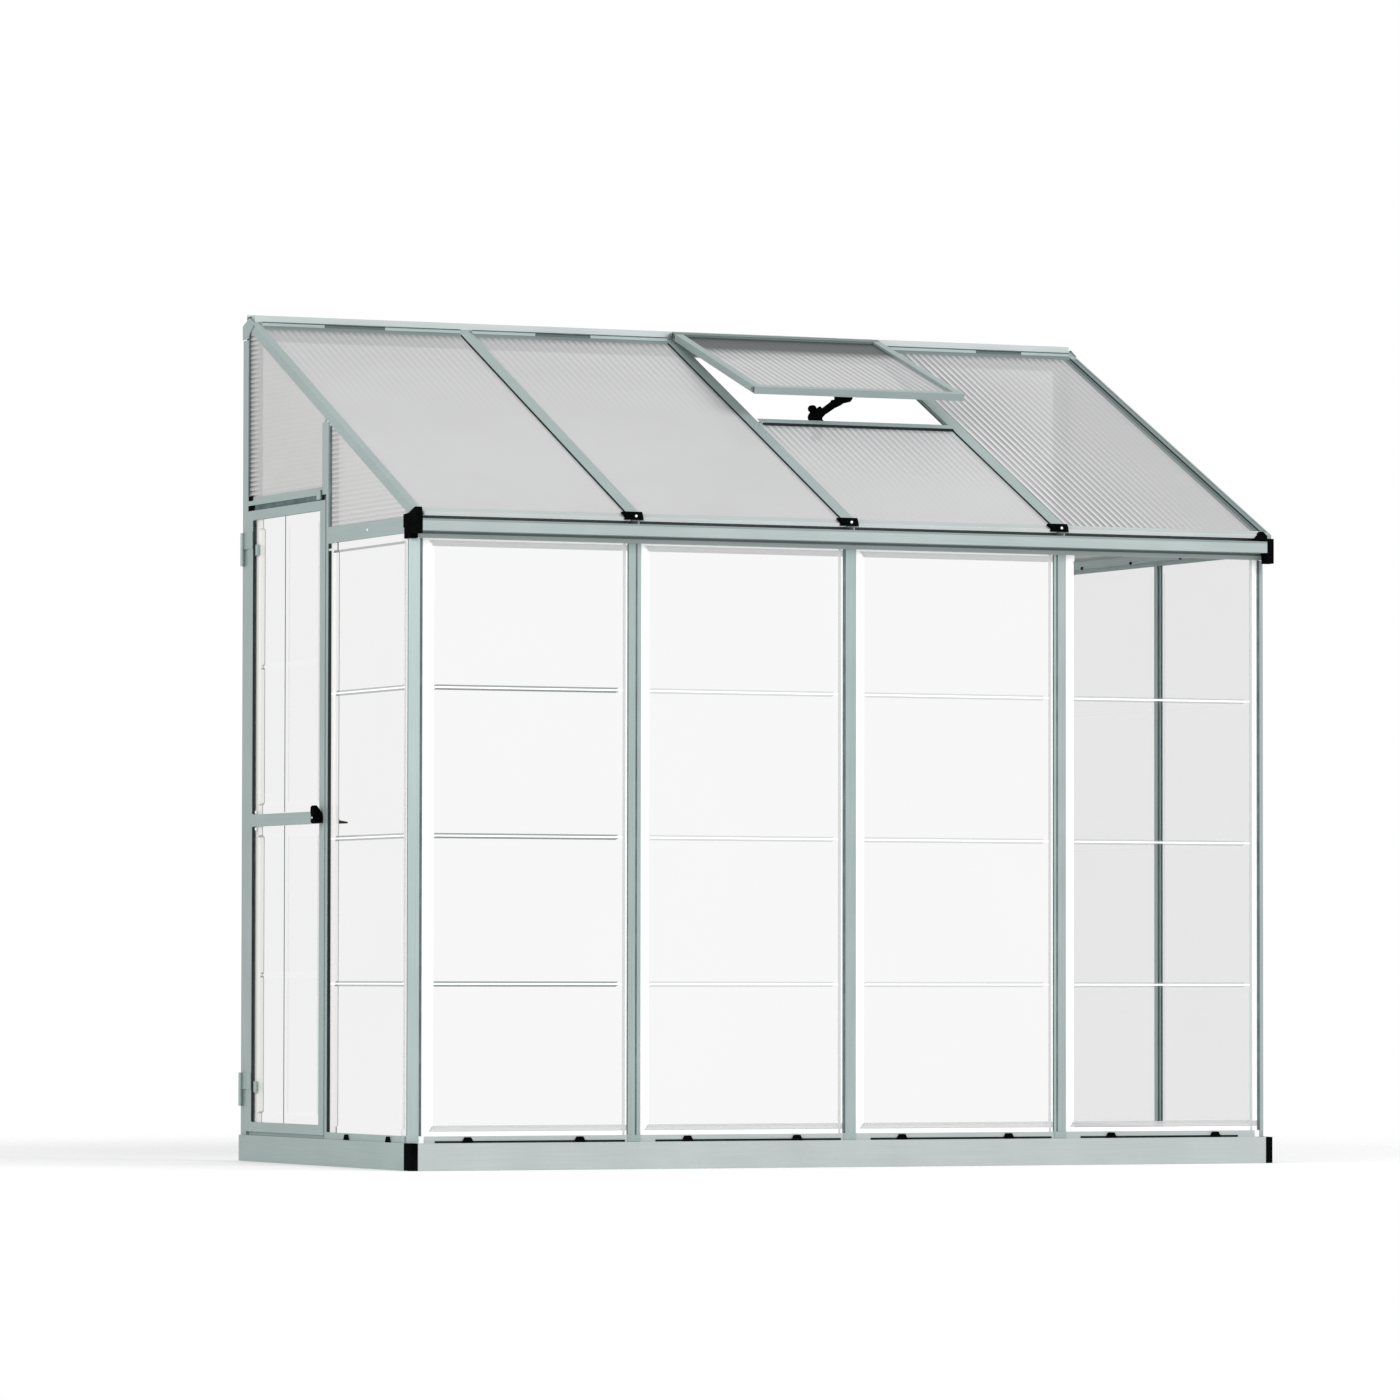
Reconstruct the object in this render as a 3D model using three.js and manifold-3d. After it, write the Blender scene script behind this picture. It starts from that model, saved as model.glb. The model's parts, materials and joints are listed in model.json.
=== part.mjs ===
// A lean-to greenhouse: a glazed aluminium frame that stands on a three-sided base against a wall.
// Millimetres, +Z up. While it is built, X runs along the front from the left corner, Y runs
// from the front to the wall and Z starts at the ground. The finished group is then centred.
import * as THREE from "three";
import { mergeVertices } from "three/addons/utils/BufferGeometryUtils.js";
import Module from "manifold-3d";

const wasm = await Module();
wasm.setup();

// Overall sizes: the eaves height is that of the rafters' top plane over the front of the base
const LENGTH = 2535;
const DEPTH = 1250;
const EAVES_HEIGHT = 1718;
const ROOF_SLOPE = 26;
const BAYS = 4;
const VENT_BAY_INDEX = 3;

// Clearances and stock
const FIT = 0.3;
const OVERRUN = 5;
const SHEET = 2;
const WALL = 2;
const CLEAR_PANE = 2;
const TWIN_PANE = 6;

// Drops of the pieces at the eaves below the eaves height
const eavesDrop = {
  gutter: 54, capTop: 9, capCrown: -7, capShoulder: 7, capFront: 62, capRear: 73, capStep: 44, clip: 12,
  beam: 58, header: -75,
};

const base = { height: 71, depth: 40, blockWidth: 20, blockLength: 48, sillHeight: 18 };
const post = { sideInset: 6, frontInset: 18, facet: 23, depth: 28, flange: 16 };
const bayInset = 12.5;
const mullion = {
  cap: 36, web: 6, flange: 28, depth: 24, sideDepth: 14, stem: 3, toe: 16, grooveWidth: 5, grooveDepth: 1,
};
const mullionGrooveShares = [0.14, -0.42, -0.24];
const sideMullionShare = 0.517;
const gutter = { reach: 17, lipHeight: 18, faceHeight: 31, rear: 40 };
const cap = {
  inset: 2.5, width: 19.5, front: 8, rear: 70, crownBack: 5, shoulderAt: 35, stepAt: 16, step: 6,
};
const rafter = {
  depth: 30, endCap: 22, capLeft: 24, capRight: 12, web: 4, shelf: 20, endShelf: 30, stem: 3,
  toe: 14, front: -8,
};
const ridge = { reach: 60, depth: 38, rise: 18.6, height: 67, inset: 16, fin: 5, finThickness: 3 };
const clip = { width: 53, aside: 17, thickness: 5.7, lap: 12, crown: 4, corner: 7 };
const beam = { height: 44, lip: 12, depth: 30, gableTuck: 19.5 };
const wallPost = { width: 40, depth: 30, stop: 32, stopInset: 11 };
const jamb = { face: 16, stop: 32, cover: 30 };
const header = { height: 21, lip: 10, stopDrop: 28 };

// A pressed pane's border, ramp and step down, its ribs' size, and the ribs' heights and outline
const pane = { border: 32, ramp: 6, step: 5, rib: 14, ribDepth: 3, ribInset: 10 };
const paneRibShares = [0.2823, 0.507, 0.7322];
const doorRibShares = [0.2516, 0.7466];
const ribStepShares = [-0.5, -0.17, 0.17, 0.5];
const ribTopShare = 0.25;

const door = {
  outer: 4, thickness: 12, width: 578, rearGap: 3, latchGap: 2, bottomGap: 10, topGap: 15,
  latchStile: 37, hingeStile: 49, topRail: 26, bottomRail: 26, midRail: 33, midRailRise: 832,
  groove: 8, wall: 1.5, crease: 14,
};
const hinge = {
  x: -2, inset: 16, radius: 5, pin: 2.5, height: 91, rise: 69, drop: 149, leaf: 2, strapReach: 40,
};
const handle = {
  inset: 23, rise: 17, spindle: 5, notchHeight: 70, notchDepth: 23, gripReach: 24, gripHeight: 47,
  gripWidth: 28, neck: 9, hub: 12, hubLength: 12, hubGap: 2, cam: 30, camThickness: 4, camWidth: 12,
  blade: 27, bladeThickness: 4,
};
const gripBelowShare = 0.3;
const gripCornerShare = 0.25;

// The vent's sizes, and the angle in degrees at which it stands open
const vent = {
  overlap: 6, length: 602, height: 20, rail: 24, groove: 8, bead: 4, neck: 4, neckLength: 6, gap: 0.5,
  openAngle: 7, sillTuck: 10.6, sillWidth: 34, sillWebInset: 12, sillWeb: 4,
  bracketWidth: 60, bracketLength: 35, bracketThickness: 4,
};
const stay = {
  across: 202.5, behindSill: 10, drop: 46, boss: 9, thickness: 9, knob: 12, knobX: -5, knobZ: 56,
  knobDepth: 14, tipX: 82, tipGap: 0.8, arm: 12, lugWidth: 30, lugThickness: 4,
};

// Colour, roughness and metalness of each material
const looks = {
  aluminium: { color: 0xa9b5b3, roughness: 0.45, metalness: 0.75 },
  blackPlastic: { color: 0x101312, roughness: 0.55, metalness: 0 },
  clearPane: { color: 0xf3f6f5, roughness: 0.08, metalness: 0, transparent: true, opacity: 0.3 },
  twinPane: { color: 0xcfd2d1, roughness: 0.35, metalness: 0, transparent: true, opacity: 0.8 },
};

const X = new THREE.Vector3(1, 0, 0);
const Y = new THREE.Vector3(0, 1, 0);
const Z = new THREE.Vector3(0, 0, 1);

const roofAngle = THREE.MathUtils.degToRad(ROOF_SLOPE);
const slope = Math.tan(roofAngle);
const bay = (LENGTH - 2 * bayInset) / BAYS;
const clearGroove = CLEAR_PANE + 2 * FIT;
const twinGroove = TWIN_PANE + 2 * FIT;
const eaves = Object.fromEntries(
  Object.entries(eavesDrop).map(([name, drop]) => [name, EAVES_HEIGHT - drop]),
);
const sillTop = base.height + base.sillHeight;
const beamTop = eaves.beam + beam.height;
const sideMullionAt = sideMullionShare * DEPTH;

// The ridge bar lies against the wall, and its nose reaches over the rafters
const ridgeNose = DEPTH - ridge.reach;
const ridgeBack = DEPTH - ridge.depth;
const ridgeTop = roofTop(ridgeNose) + ridge.rise;
const ridgeBottom = ridgeTop - ridge.height;

// The door hangs on the wall post, and the jamb stands at its latch side
const doorRear = DEPTH - wallPost.width - door.rearGap;
const doorFront = doorRear - door.width;
const doorBottom = base.height + door.bottomGap;
const doorTop = eaves.header - door.topGap;
const midRailBottom = doorBottom + door.midRailRise;
const jambFront = doorFront - door.latchGap - jamb.face;
const hingeAxisY = DEPTH - hinge.inset;
const hingeHeights = { lower: doorBottom + hinge.rise, upper: doorTop - hinge.drop };
const handleY = doorFront + handle.inset;
const handleZ = midRailBottom + handle.rise;
const hubStart = post.sideInset + wallPost.depth + handle.hubGap;

// The vent hangs from the ridge's nose: y runs down from its axis as -y while it is built
const ventAngle = THREE.MathUtils.degToRad(ROOF_SLOPE - vent.openAngle);
const ventAxisY = ridgeNose - vent.gap - vent.bead;
const ventAxisZ = roofTop(ventAxisY) + (vent.height / 2 + vent.gap) / Math.cos(roofAngle);
const ventLeft = bayLine(VENT_BAY_INDEX - 1) - vent.overlap;
const ventRight = bayLine(VENT_BAY_INDEX) + vent.overlap;
const ventHead = vent.bead + vent.neckLength;
const sillRear = ventAxisY - vent.length * Math.cos(roofAngle) + vent.sillTuck;
const sillFront = sillRear - vent.sillWidth;
const sillWebAt = sillFront + vent.sillWebInset;
const stayPivot = {
  x: bayLine(VENT_BAY_INDEX - 1) + stay.across,
  y: sillRear + stay.behindSill,
  z: roofTop(sillRear) - stay.drop,
};

// Height of the rafters' top plane at a distance from the front
function roofTop(y) {
  return EAVES_HEIGHT + slope * y;
}

// X of the centre of a bay line, counted from 0 at the left end to BAYS at the right end
function bayLine(k) {
  return bayInset + k * bay;
}

// A closed outline with optional holes, from lists of [a, b] points, turned anticlockwise
function outline(points, holes = []) {
  const corners = points.map(([a, b]) => new THREE.Vector2(a, b));
  const shape = new THREE.Shape(THREE.ShapeUtils.isClockWise(corners) ? corners.reverse() : corners);
  for (const hole of holes) {
    shape.holes.push(new THREE.Path(hole.map(([a, b]) => new THREE.Vector2(a, b))));
  }
  return shape;
}

// Puts a geometry's local x, y and z along a, b and a cross b, with its origin at a point
function place(geometry, origin, a, b) {
  const c = new THREE.Vector3().crossVectors(a, b);
  const matrix = new THREE.Matrix4().makeBasis(a, b, c).setPosition(...origin);
  return geometry.applyMatrix4(matrix);
}

function extrude(shape, length) {
  return new THREE.ExtrudeGeometry(shape, { depth: length, bevelEnabled: false, steps: 1 });
}

// A section given in [x, y], standing from z0 to z1
function upright(section, z0, z1, holes) {
  return place(extrude(outline(section, holes), z1 - z0), [0, 0, z0], X, Y);
}

// A section given in [y, z], running from x0 to x1
function lengthwise(section, x0, x1, holes) {
  return place(extrude(outline(section, holes), x1 - x0), [x0, 0, 0], Y, Z);
}

// A section given in [x, z], running from y0 back to y1
function crosswise(section, y0, y1, holes) {
  return place(extrude(outline(section, holes), y1 - y0), [0, y1, 0], X, Z);
}

// A section given in [x, height above the roof plane], running up the slope with plumb ends
function upSlope(section, y0, y1) {
  const shear = new THREE.Matrix4().makeShear(0, 0, 0, slope, 0, 0);
  return crosswise(section, y0, y1).applyMatrix4(shear).translate(0, 0, EAVES_HEIGHT);
}

// The same, with both ends measured from the left end or from the right end
function lengthwiseAt(side, section, x0, x1) {
  return side === "left" ? lengthwise(section, x0, x1) : lengthwise(section, LENGTH - x1, LENGTH - x0);
}

function rectangle(a0, b0, a1, b1) {
  return [[a0, b0], [a1, b0], [a1, b1], [a0, b1]];
}

// A section in [x, y] or [x, z] as it is on the left, or its mirror image for the right
function mirrored(section, side) {
  return side === "left" ? section : section.map(([x, b]) => [LENGTH - x, b]);
}

function cylinder(radius, length, sides = 24) {
  return new THREE.CylinderGeometry(radius, radius, length, sides);
}

function solid(geometry) {
  const bare = geometry.clone();
  bare.deleteAttribute("normal");
  bare.deleteAttribute("uv");
  const merged = mergeVertices(bare);
  return new wasm.Manifold(
    new wasm.Mesh({
      numProp: 3,
      vertProperties: new Float32Array(merged.attributes.position.array),
      triVerts: new Uint32Array(merged.index.array),
    }),
  );
}

function fromSolid(made) {
  const { numProp, vertProperties, triVerts } = made.getMesh();
  const geometry = new THREE.BufferGeometry();
  geometry.setAttribute("position", new THREE.BufferAttribute(new Float32Array(vertProperties), numProp));
  geometry.setIndex(new THREE.BufferAttribute(new Uint32Array(triVerts), 1));
  const flat = geometry.toNonIndexed();
  flat.computeVertexNormals();
  return flat;
}

function join(...geometries) {
  return fromSolid(geometries.map(solid).reduce((whole, next) => whole.add(next)));
}

function cut(geometry, ...tools) {
  return fromSolid(tools.map(solid).reduce((whole, next) => whole.subtract(next), solid(geometry)));
}

function piece(name, geometry, look) {
  const mesh = new THREE.Mesh(geometry, new THREE.MeshStandardMaterial(looks[look]));
  mesh.name = name;
  return mesh;
}

// The grid lines of a pressed pane along one side, with the steps of each rib or crease across it
function paneLines(size, marks, markWidth) {
  const edge = pane.border + pane.ramp;
  const lines = [0, pane.border, edge, size - edge, size - pane.border, size];
  for (const mark of marks) {
    lines.push(...ribStepShares.map((share) => mark + share * markWidth));
  }
  return lines;
}

// A pressed clear pane: a flat border, a step to the field, and ribs and creases across the field
function pressedPane(width, height, ribs, creases = []) {
  const ribEnd = pane.border + pane.ramp + pane.ribInset;
  const us = [...paneLines(width, creases, door.crease), ribEnd, width - ribEnd].sort((a, b) => a - b);
  const vs = paneLines(height, ribs, pane.rib).sort((a, b) => a - b);
  const level = (s, size) => Math.min(1, Math.max(0, (Math.min(s, size - s) - pane.border) / pane.ramp));
  const near = (s, marks, band) => marks.some((mark) => Math.abs(s - mark) < band * ribTopShare);
  const relief = (u, v) => {
    const onRib = Math.min(u, width - u) > ribEnd - FIT && near(v, ribs, pane.rib);
    const onCrease = level(v, height) === 1 && near(u, creases, door.crease);
    const field = -pane.step * Math.min(level(u, width), level(v, height));
    return field + (onRib || onCrease ? pane.ribDepth : 0);
  };
  return reliefSheet(us, vs, relief, CLEAR_PANE);
}

// A closed sheet over the grid of us and vs, with one relief on both faces
function reliefSheet(us, vs, relief, thickness) {
  const positions = [];
  const corner = (i, j, face) => [us[i], vs[j], relief(us[i], vs[j]) - face * thickness];
  const quad = (a, b, c, d) => positions.push(...a, ...b, ...c, ...a, ...c, ...d);
  const lastU = us.length - 1;
  const lastV = vs.length - 1;
  for (let i = 0; i < lastU; i++) {
    for (let j = 0; j < lastV; j++) {
      quad(corner(i, j, 0), corner(i + 1, j, 0), corner(i + 1, j + 1, 0), corner(i, j + 1, 0));
      quad(corner(i, j, 1), corner(i, j + 1, 1), corner(i + 1, j + 1, 1), corner(i + 1, j, 1));
    }
    quad(corner(i, 0, 1), corner(i + 1, 0, 1), corner(i + 1, 0, 0), corner(i, 0, 0));
    quad(corner(i, lastV, 0), corner(i + 1, lastV, 0), corner(i + 1, lastV, 1), corner(i, lastV, 1));
  }
  for (let j = 0; j < lastV; j++) {
    quad(corner(0, j, 0), corner(0, j + 1, 0), corner(0, j + 1, 1), corner(0, j, 1));
    quad(corner(lastU, j, 1), corner(lastU, j + 1, 1), corner(lastU, j + 1, 0), corner(lastU, j, 0));
  }
  const geometry = new THREE.BufferGeometry();
  geometry.setAttribute("position", new THREE.Float32BufferAttribute(positions, 3));
  geometry.computeVertexNormals();
  return geometry;
}

// The base: three tubes with a pair of sill lips on top that hold the lower edges of the panes
function tubeSection(outer) {
  return {
    section: rectangle(outer, 0, outer + base.depth, base.height),
    holes: [rectangle(outer + WALL, WALL, outer + base.depth - WALL, base.height - WALL)],
  };
}

function sillLips(inset) {
  const inner = inset + SHEET + clearGroove;
  return [
    rectangle(inset, base.height - WALL / 2, inset + SHEET, sillTop),
    rectangle(inner, base.height - WALL / 2, inner + SHEET, sillTop),
  ];
}

function baseFront() {
  const { section, holes } = tubeSection(0);
  const start = base.blockWidth + FIT;
  const tube = lengthwise(section, start, LENGTH - start, holes);
  const lipStart = frontPaneStart() + post.flange;
  const lips = sillLips(post.frontInset).map((lip) => lengthwise(lip, lipStart, LENGTH - lipStart));
  return join(tube, ...lips);
}

function baseSide(side) {
  const { section, holes } = tubeSection(0);
  const lipEnd = side === "left" ? jambFront - FIT : DEPTH - wallPost.width - FIT;
  const lipStart = sidePaneStart() + post.flange;
  const start = base.blockLength + FIT;
  const tube = crosswise(mirrored(section, side), start, DEPTH, [mirrored(holes[0], side)]);
  const lips = sillLips(post.sideInset).map((lip) => crosswise(mirrored(lip, side), lipStart, lipEnd));
  return join(tube, ...lips);
}

function baseCorner(side) {
  const inner = base.depth + FIT;
  const section = [
    [0, 0], [base.blockWidth, 0], [base.blockWidth, inner], [base.depth, inner],
    [base.depth, base.blockLength], [0, base.blockLength],
  ];
  return upright(mirrored(section, side), 0, base.height);
}

// Where the first front pane and the first side pane begin, just past the corner post's facet
function frontPaneStart() {
  return post.sideInset + post.facet + FIT;
}

function sidePaneStart() {
  return post.frontInset + post.facet + FIT;
}

function cornerPost(side) {
  const left = post.sideInset;
  const front = post.frontInset;
  const groove = SHEET + clearGroove;
  const right = left + post.depth;
  const rear = front + post.depth;
  const section = [
    [left + post.facet, front], [left, front + post.facet],
    [left + groove, front + post.facet], [left + groove, front + post.facet + post.flange],
    [left + groove + SHEET, front + post.facet + post.flange], [left + groove + SHEET, rear],
    [right, rear], [right, front + groove + SHEET],
    [left + post.facet + post.flange, front + groove + SHEET],
    [left + post.facet + post.flange, front + groove], [left + post.facet, front + groove],
  ];
  const facetSum = left + front + post.facet + WALL * Math.SQRT2;
  const hollowLeft = left + groove + SHEET + FIT;
  const hollowFront = front + groove + SHEET + FIT;
  const hollow = [
    [facetSum - hollowFront, hollowFront], [right - WALL, hollowFront], [right - WALL, rear - WALL],
    [hollowLeft, rear - WALL], [hollowLeft, facetSum - hollowLeft],
  ];
  return upright(mirrored(section, side), base.height + FIT, eaves.capRear - FIT, [mirrored(hollow, side)]);
}

// A glazing bar: an outer cap with a groove in its face, a web, a flange behind the panes and a stem
// Its section is given in [across, depth from the face]
function glazingBar(grooveShare, depth) {
  const half = mullion.cap / 2;
  const grooveLeft = grooveShare * mullion.cap - mullion.grooveWidth / 2;
  const back = SHEET + clearGroove;
  const right = [
    [half, 0], [half, SHEET], [mullion.web / 2, SHEET], [mullion.web / 2, back],
    [mullion.flange / 2, back], [mullion.flange / 2, back + SHEET], [mullion.stem / 2, back + SHEET],
    [mullion.stem / 2, depth - SHEET], [mullion.toe / 2, depth - SHEET], [mullion.toe / 2, depth],
  ];
  const left = right.map(([a, d]) => [-a, d]).reverse();
  const groove = [
    [Math.max(grooveLeft, -half + FIT), 0], [Math.max(grooveLeft, -half + FIT), mullion.grooveDepth],
    [grooveLeft + mullion.grooveWidth, mullion.grooveDepth], [grooveLeft + mullion.grooveWidth, 0],
  ];
  return [...groove, ...right, ...left];
}

function frontMullion(k) {
  const section = glazingBar(mullionGrooveShares[k - 1], mullion.depth);
  const placed = section.map(([a, d]) => [bayLine(k) + a, post.frontInset + d]);
  return upright(placed, sillTop + FIT, eaves.gutter - gutter.lipHeight - FIT);
}

function sideMullion() {
  const section = glazingBar(0, mullion.sideDepth);
  const placed = section.map(([a, d]) => [LENGTH - post.sideInset - d, sideMullionAt + a]);
  return upright(placed, sillTop + FIT, eaves.beam - FIT);
}

// A pressed pane in the front wall, in the left wall or in the right wall
function uprightPane(wall, from, to, top) {
  const bottom = base.height + FIT;
  const ribs = paneRibShares.map((share) => share * EAVES_HEIGHT - bottom);
  const depth = SHEET + FIT;
  const geometry = pressedPane(to - from, top - bottom, ribs);
  if (wall === "front") {
    return place(geometry, [from, post.frontInset + depth, bottom], X, Z);
  }
  if (wall === "left") {
    return place(geometry, [post.sideInset + depth, to, bottom], Y.clone().negate(), Z);
  }
  return place(geometry, [LENGTH - post.sideInset - depth, from, bottom], Y, Z);
}

function frontPane(k) {
  const clear = mullion.web / 2 + FIT;
  const from = k === 1 ? frontPaneStart() : bayLine(k - 1) + clear;
  const to = k === BAYS ? LENGTH - frontPaneStart() : bayLine(k) - clear;
  return uprightPane("front", from, to, eaves.gutter - FIT);
}

// The eaves gutter: an open channel with a pair of lips below that hold the panes
function eavesGutter() {
  const inset = post.frontInset;
  const inner = inset + SHEET + clearGroove;
  const low = eaves.gutter - gutter.lipHeight;
  const floor = eaves.gutter + SHEET;
  const rearTop = roofTop(gutter.rear - SHEET) - rafter.depth - FIT;
  const section = [
    [-gutter.reach, eaves.gutter], [inset, eaves.gutter], [inset, low], [inset + SHEET, low],
    [inset + SHEET, eaves.gutter], [inner, eaves.gutter], [inner, low], [inner + SHEET, low],
    [inner + SHEET, eaves.gutter], [gutter.rear, eaves.gutter], [gutter.rear, rearTop],
    [gutter.rear - SHEET, rearTop], [gutter.rear - SHEET, floor], [SHEET - gutter.reach, floor],
    [SHEET - gutter.reach, eaves.gutter + gutter.faceHeight],
    [-gutter.reach, eaves.gutter + gutter.faceHeight],
  ];
  const start = cap.inset + cap.width + FIT;
  return lengthwise(section, start, LENGTH - start);
}

// The top of the groove that holds a side pane, in the beam and in the gutter's cap
function slotTop() {
  return eaves.beam + beam.lip;
}

// The moulded cap on each end of the gutter, with a cheek beside the rafter and a nose before it
function gutterCap(side) {
  const front = -gutter.reach;
  const nose = front + cap.front;
  const under = (y) => roofTop(y) - rafter.depth - FIT;
  const topAt = (eaves.capTop - FIT + rafter.depth - EAVES_HEIGHT) / slope;
  const lower = [
    [cap.rear - cap.step, eaves.capStep], [cap.rear - cap.step, eaves.capRear],
    [cap.stepAt, eaves.capRear], [cap.stepAt, eaves.capFront], [front, eaves.capFront],
  ];
  const cheek = [
    [front, eaves.capShoulder], [front + cap.crownBack, eaves.capCrown], [nose, eaves.capCrown],
    [cap.shoulderAt, eaves.capShoulder], [cap.rear, eaves.capTop], [cap.rear, eaves.capStep], ...lower,
  ];
  const body = [
    [front, eaves.capShoulder], [front + cap.crownBack, eaves.capCrown], [nose, eaves.capCrown],
    [nose, under(nose)], [topAt, eaves.capTop - FIT], [cap.rear, eaves.capTop - FIT],
    [cap.rear, eaves.capStep], ...lower,
  ];
  const cheekInner = post.sideInset - FIT;
  const slotInner = post.sideInset + SHEET + clearGroove;
  const slot = rectangle(sidePaneStart() - FIT, eaves.capRear - OVERRUN, cap.rear + OVERRUN, slotTop());
  return cut(
    join(
      lengthwiseAt(side, cheek, cap.inset, cheekInner),
      lengthwiseAt(side, body, cheekInner - FIT, cap.inset + cap.width),
    ),
    lengthwiseAt(side, slot, post.sideInset + SHEET, slotInner),
  );
}

// The rectangular beam over a side wall, with lips above for the gable and below for the panes
function sideBeam(side, y1) {
  const out = post.sideInset;
  const low = slotTop();
  const high = beamTop - beam.lip;
  const clearInner = out + SHEET + clearGroove;
  const twinInner = out + SHEET + twinGroove;
  const section = [
    [out, eaves.beam], [out + SHEET, eaves.beam], [out + SHEET, low], [clearInner, low],
    [clearInner, eaves.beam], [clearInner + SHEET, eaves.beam], [clearInner + SHEET, low],
    [out + beam.depth, low], [out + beam.depth, high], [twinInner + SHEET, high],
    [twinInner + SHEET, beamTop], [twinInner, beamTop], [twinInner, high], [out + SHEET, high],
    [out + SHEET, beamTop], [out, beamTop],
  ];
  return crosswise(mirrored(section, side), cap.rear + FIT, y1);
}

function wallPostSolid(side) {
  const out = post.sideInset;
  const inner = out + wallPost.depth;
  const front = DEPTH - wallPost.width;
  const stopFront = front - wallPost.stop;
  const stopOut = out + wallPost.stopInset;
  const box = rectangle(out, front, inner, DEPTH);
  const withStop = [
    [out, front], [stopOut, front], [stopOut, stopFront], [inner, stopFront], [inner, DEPTH], [out, DEPTH],
  ];
  const boxHollow = rectangle(out + WALL, front + WALL, inner - WALL, DEPTH - WALL);
  const stopHollow = rectangle(stopOut + WALL, stopFront + WALL, inner - WALL, front - WALL);
  const top = ridgeBottom - FIT;
  if (side === "left") {
    return upright(withStop, base.height + FIT, top, [boxHollow, stopHollow]);
  }
  return upright(mirrored(box, side), base.height + FIT, top, [mirrored(boxHollow, side)]);
}

// The door jamb: a face beside the side pane, a stop behind the door and a cover over the header
function doorJamb() {
  const out = post.sideInset;
  const inner = out + wallPost.depth;
  const faceRear = jambFront + jamb.face;
  const stopRear = faceRear + jamb.stop;
  const stopOut = out + wallPost.stopInset;
  const top = roofTop(jambFront) - rafter.depth - FIT;
  const section = [
    [out, jambFront], [inner, jambFront], [inner, stopRear], [stopOut, stopRear],
    [stopOut, faceRear], [out, faceRear],
  ];
  const hollow = rectangle(out + WALL, jambFront + WALL, inner - WALL, faceRear - WALL);
  const frame = upright(section, base.height + FIT, top, [hollow]);
  const cover = upright(
    rectangle(out, faceRear - WALL / 2, out + SHEET, faceRear + jamb.cover), eaves.header + FIT, top,
  );
  const notch = place(
    extrude(outline(rectangle(stopRear - handle.notchDepth, 0, stopRear + OVERRUN, handle.notchHeight)),
      wallPost.depth),
    [stopOut - OVERRUN, 0, handleZ - handle.notchHeight / 2], Y, Z,
  );
  return cut(join(frame, cover), notch);
}

// The header over the door: a stop behind the door's top and lips above for the gable panel
function doorHeader() {
  const out = post.sideInset;
  const inner = out + wallPost.depth;
  const stopOut = out + wallPost.stopInset;
  const top = eaves.header + header.height;
  const floor = top - header.lip;
  const twinInner = out + SHEET + twinGroove;
  const start = jambFront + jamb.face + jamb.stop + FIT;
  const end = DEPTH - wallPost.width - wallPost.stop - FIT;
  const section = [
    [out, eaves.header], [stopOut, eaves.header], [stopOut, eaves.header - header.stopDrop],
    [inner, eaves.header - header.stopDrop], [inner, floor], [twinInner + SHEET, floor],
    [twinInner + SHEET, top], [twinInner, top], [twinInner, floor], [out + SHEET, floor],
    [out + SHEET, top], [out, top],
  ];
  const face = [
    [out, eaves.header], [stopOut - FIT, eaves.header], [stopOut - FIT, floor], [out + SHEET, floor],
    [out + SHEET, top], [out, top],
  ];
  return join(
    crosswise(section, start, end),
    crosswise(face, end - FIT, DEPTH - wallPost.width - FIT),
  );
}

// A twin-wall gable panel, from its lower edge up into the groove of the end rafter
function gablePanel(side, y0, y1, bottom) {
  const under = (y) => roofTop(y) - SHEET - twinGroove - SHEET - FIT;
  const out = post.sideInset + SHEET + FIT;
  const lower = [[y1, bottom], [y1, under(y1)], [y0, under(y0)], [y0, bottom]];
  return lengthwiseAt(side, lower, out, out + TWIN_PANE);
}

function gableFront(side, y1) {
  const under = (y) => roofTop(y) - SHEET - twinGroove - SHEET - FIT;
  const out = post.sideInset + SHEET + FIT;
  const bottom = beamTop - beam.lip + FIT;
  const beamStart = cap.rear + 2 * FIT;
  const capTop = eaves.capTop + FIT;
  const tip = beamStart - beam.gableTuck;
  const section = [
    [beamStart, bottom], [y1, bottom], [y1, under(y1)], [tip, under(tip)], [tip, capTop],
    [beamStart, capTop],
  ];
  return lengthwiseAt(side, section, out, out + TWIN_PANE);
}

// The end rafter: a cap, a pocket for the roof panel and a groove below for the gable panel
function endRafter(side) {
  const out = post.sideInset;
  const pocket = SHEET + twinGroove;
  const inner = out + SHEET + twinGroove;
  const section = [
    [out, 0], [out + rafter.endCap, 0], [out + rafter.endCap, -SHEET], [out + SHEET, -SHEET],
    [out + SHEET, -pocket], [out + rafter.endShelf, -pocket], [out + rafter.endShelf, -pocket - SHEET],
    [inner + SHEET, -pocket - SHEET], [inner + SHEET, -rafter.depth], [inner, -rafter.depth],
    [inner, -pocket - SHEET], [out + SHEET, -pocket - SHEET], [out + SHEET, -rafter.depth],
    [out, -rafter.depth],
  ];
  return upSlope(mirrored(section, side), rafter.front, ridgeBack - FIT);
}

function innerRafter(k) {
  const pocket = SHEET + twinGroove;
  const half = (cap) => [
    [cap, 0], [cap, -SHEET], [rafter.web / 2, -SHEET], [rafter.web / 2, -pocket],
    [rafter.shelf, -pocket], [rafter.shelf, -pocket - SHEET], [rafter.stem / 2, -pocket - SHEET],
    [rafter.stem / 2, SHEET - rafter.depth], [rafter.toe / 2, SHEET - rafter.depth],
    [rafter.toe / 2, -rafter.depth],
  ];
  const left = half(rafter.capLeft).map(([a, z]) => [-a, z]).reverse();
  const section = [...half(rafter.capRight), ...left].map(([a, z]) => [bayLine(k) + a, z]);
  return upSlope(section, rafter.front, ridgeBack - FIT);
}

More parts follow.
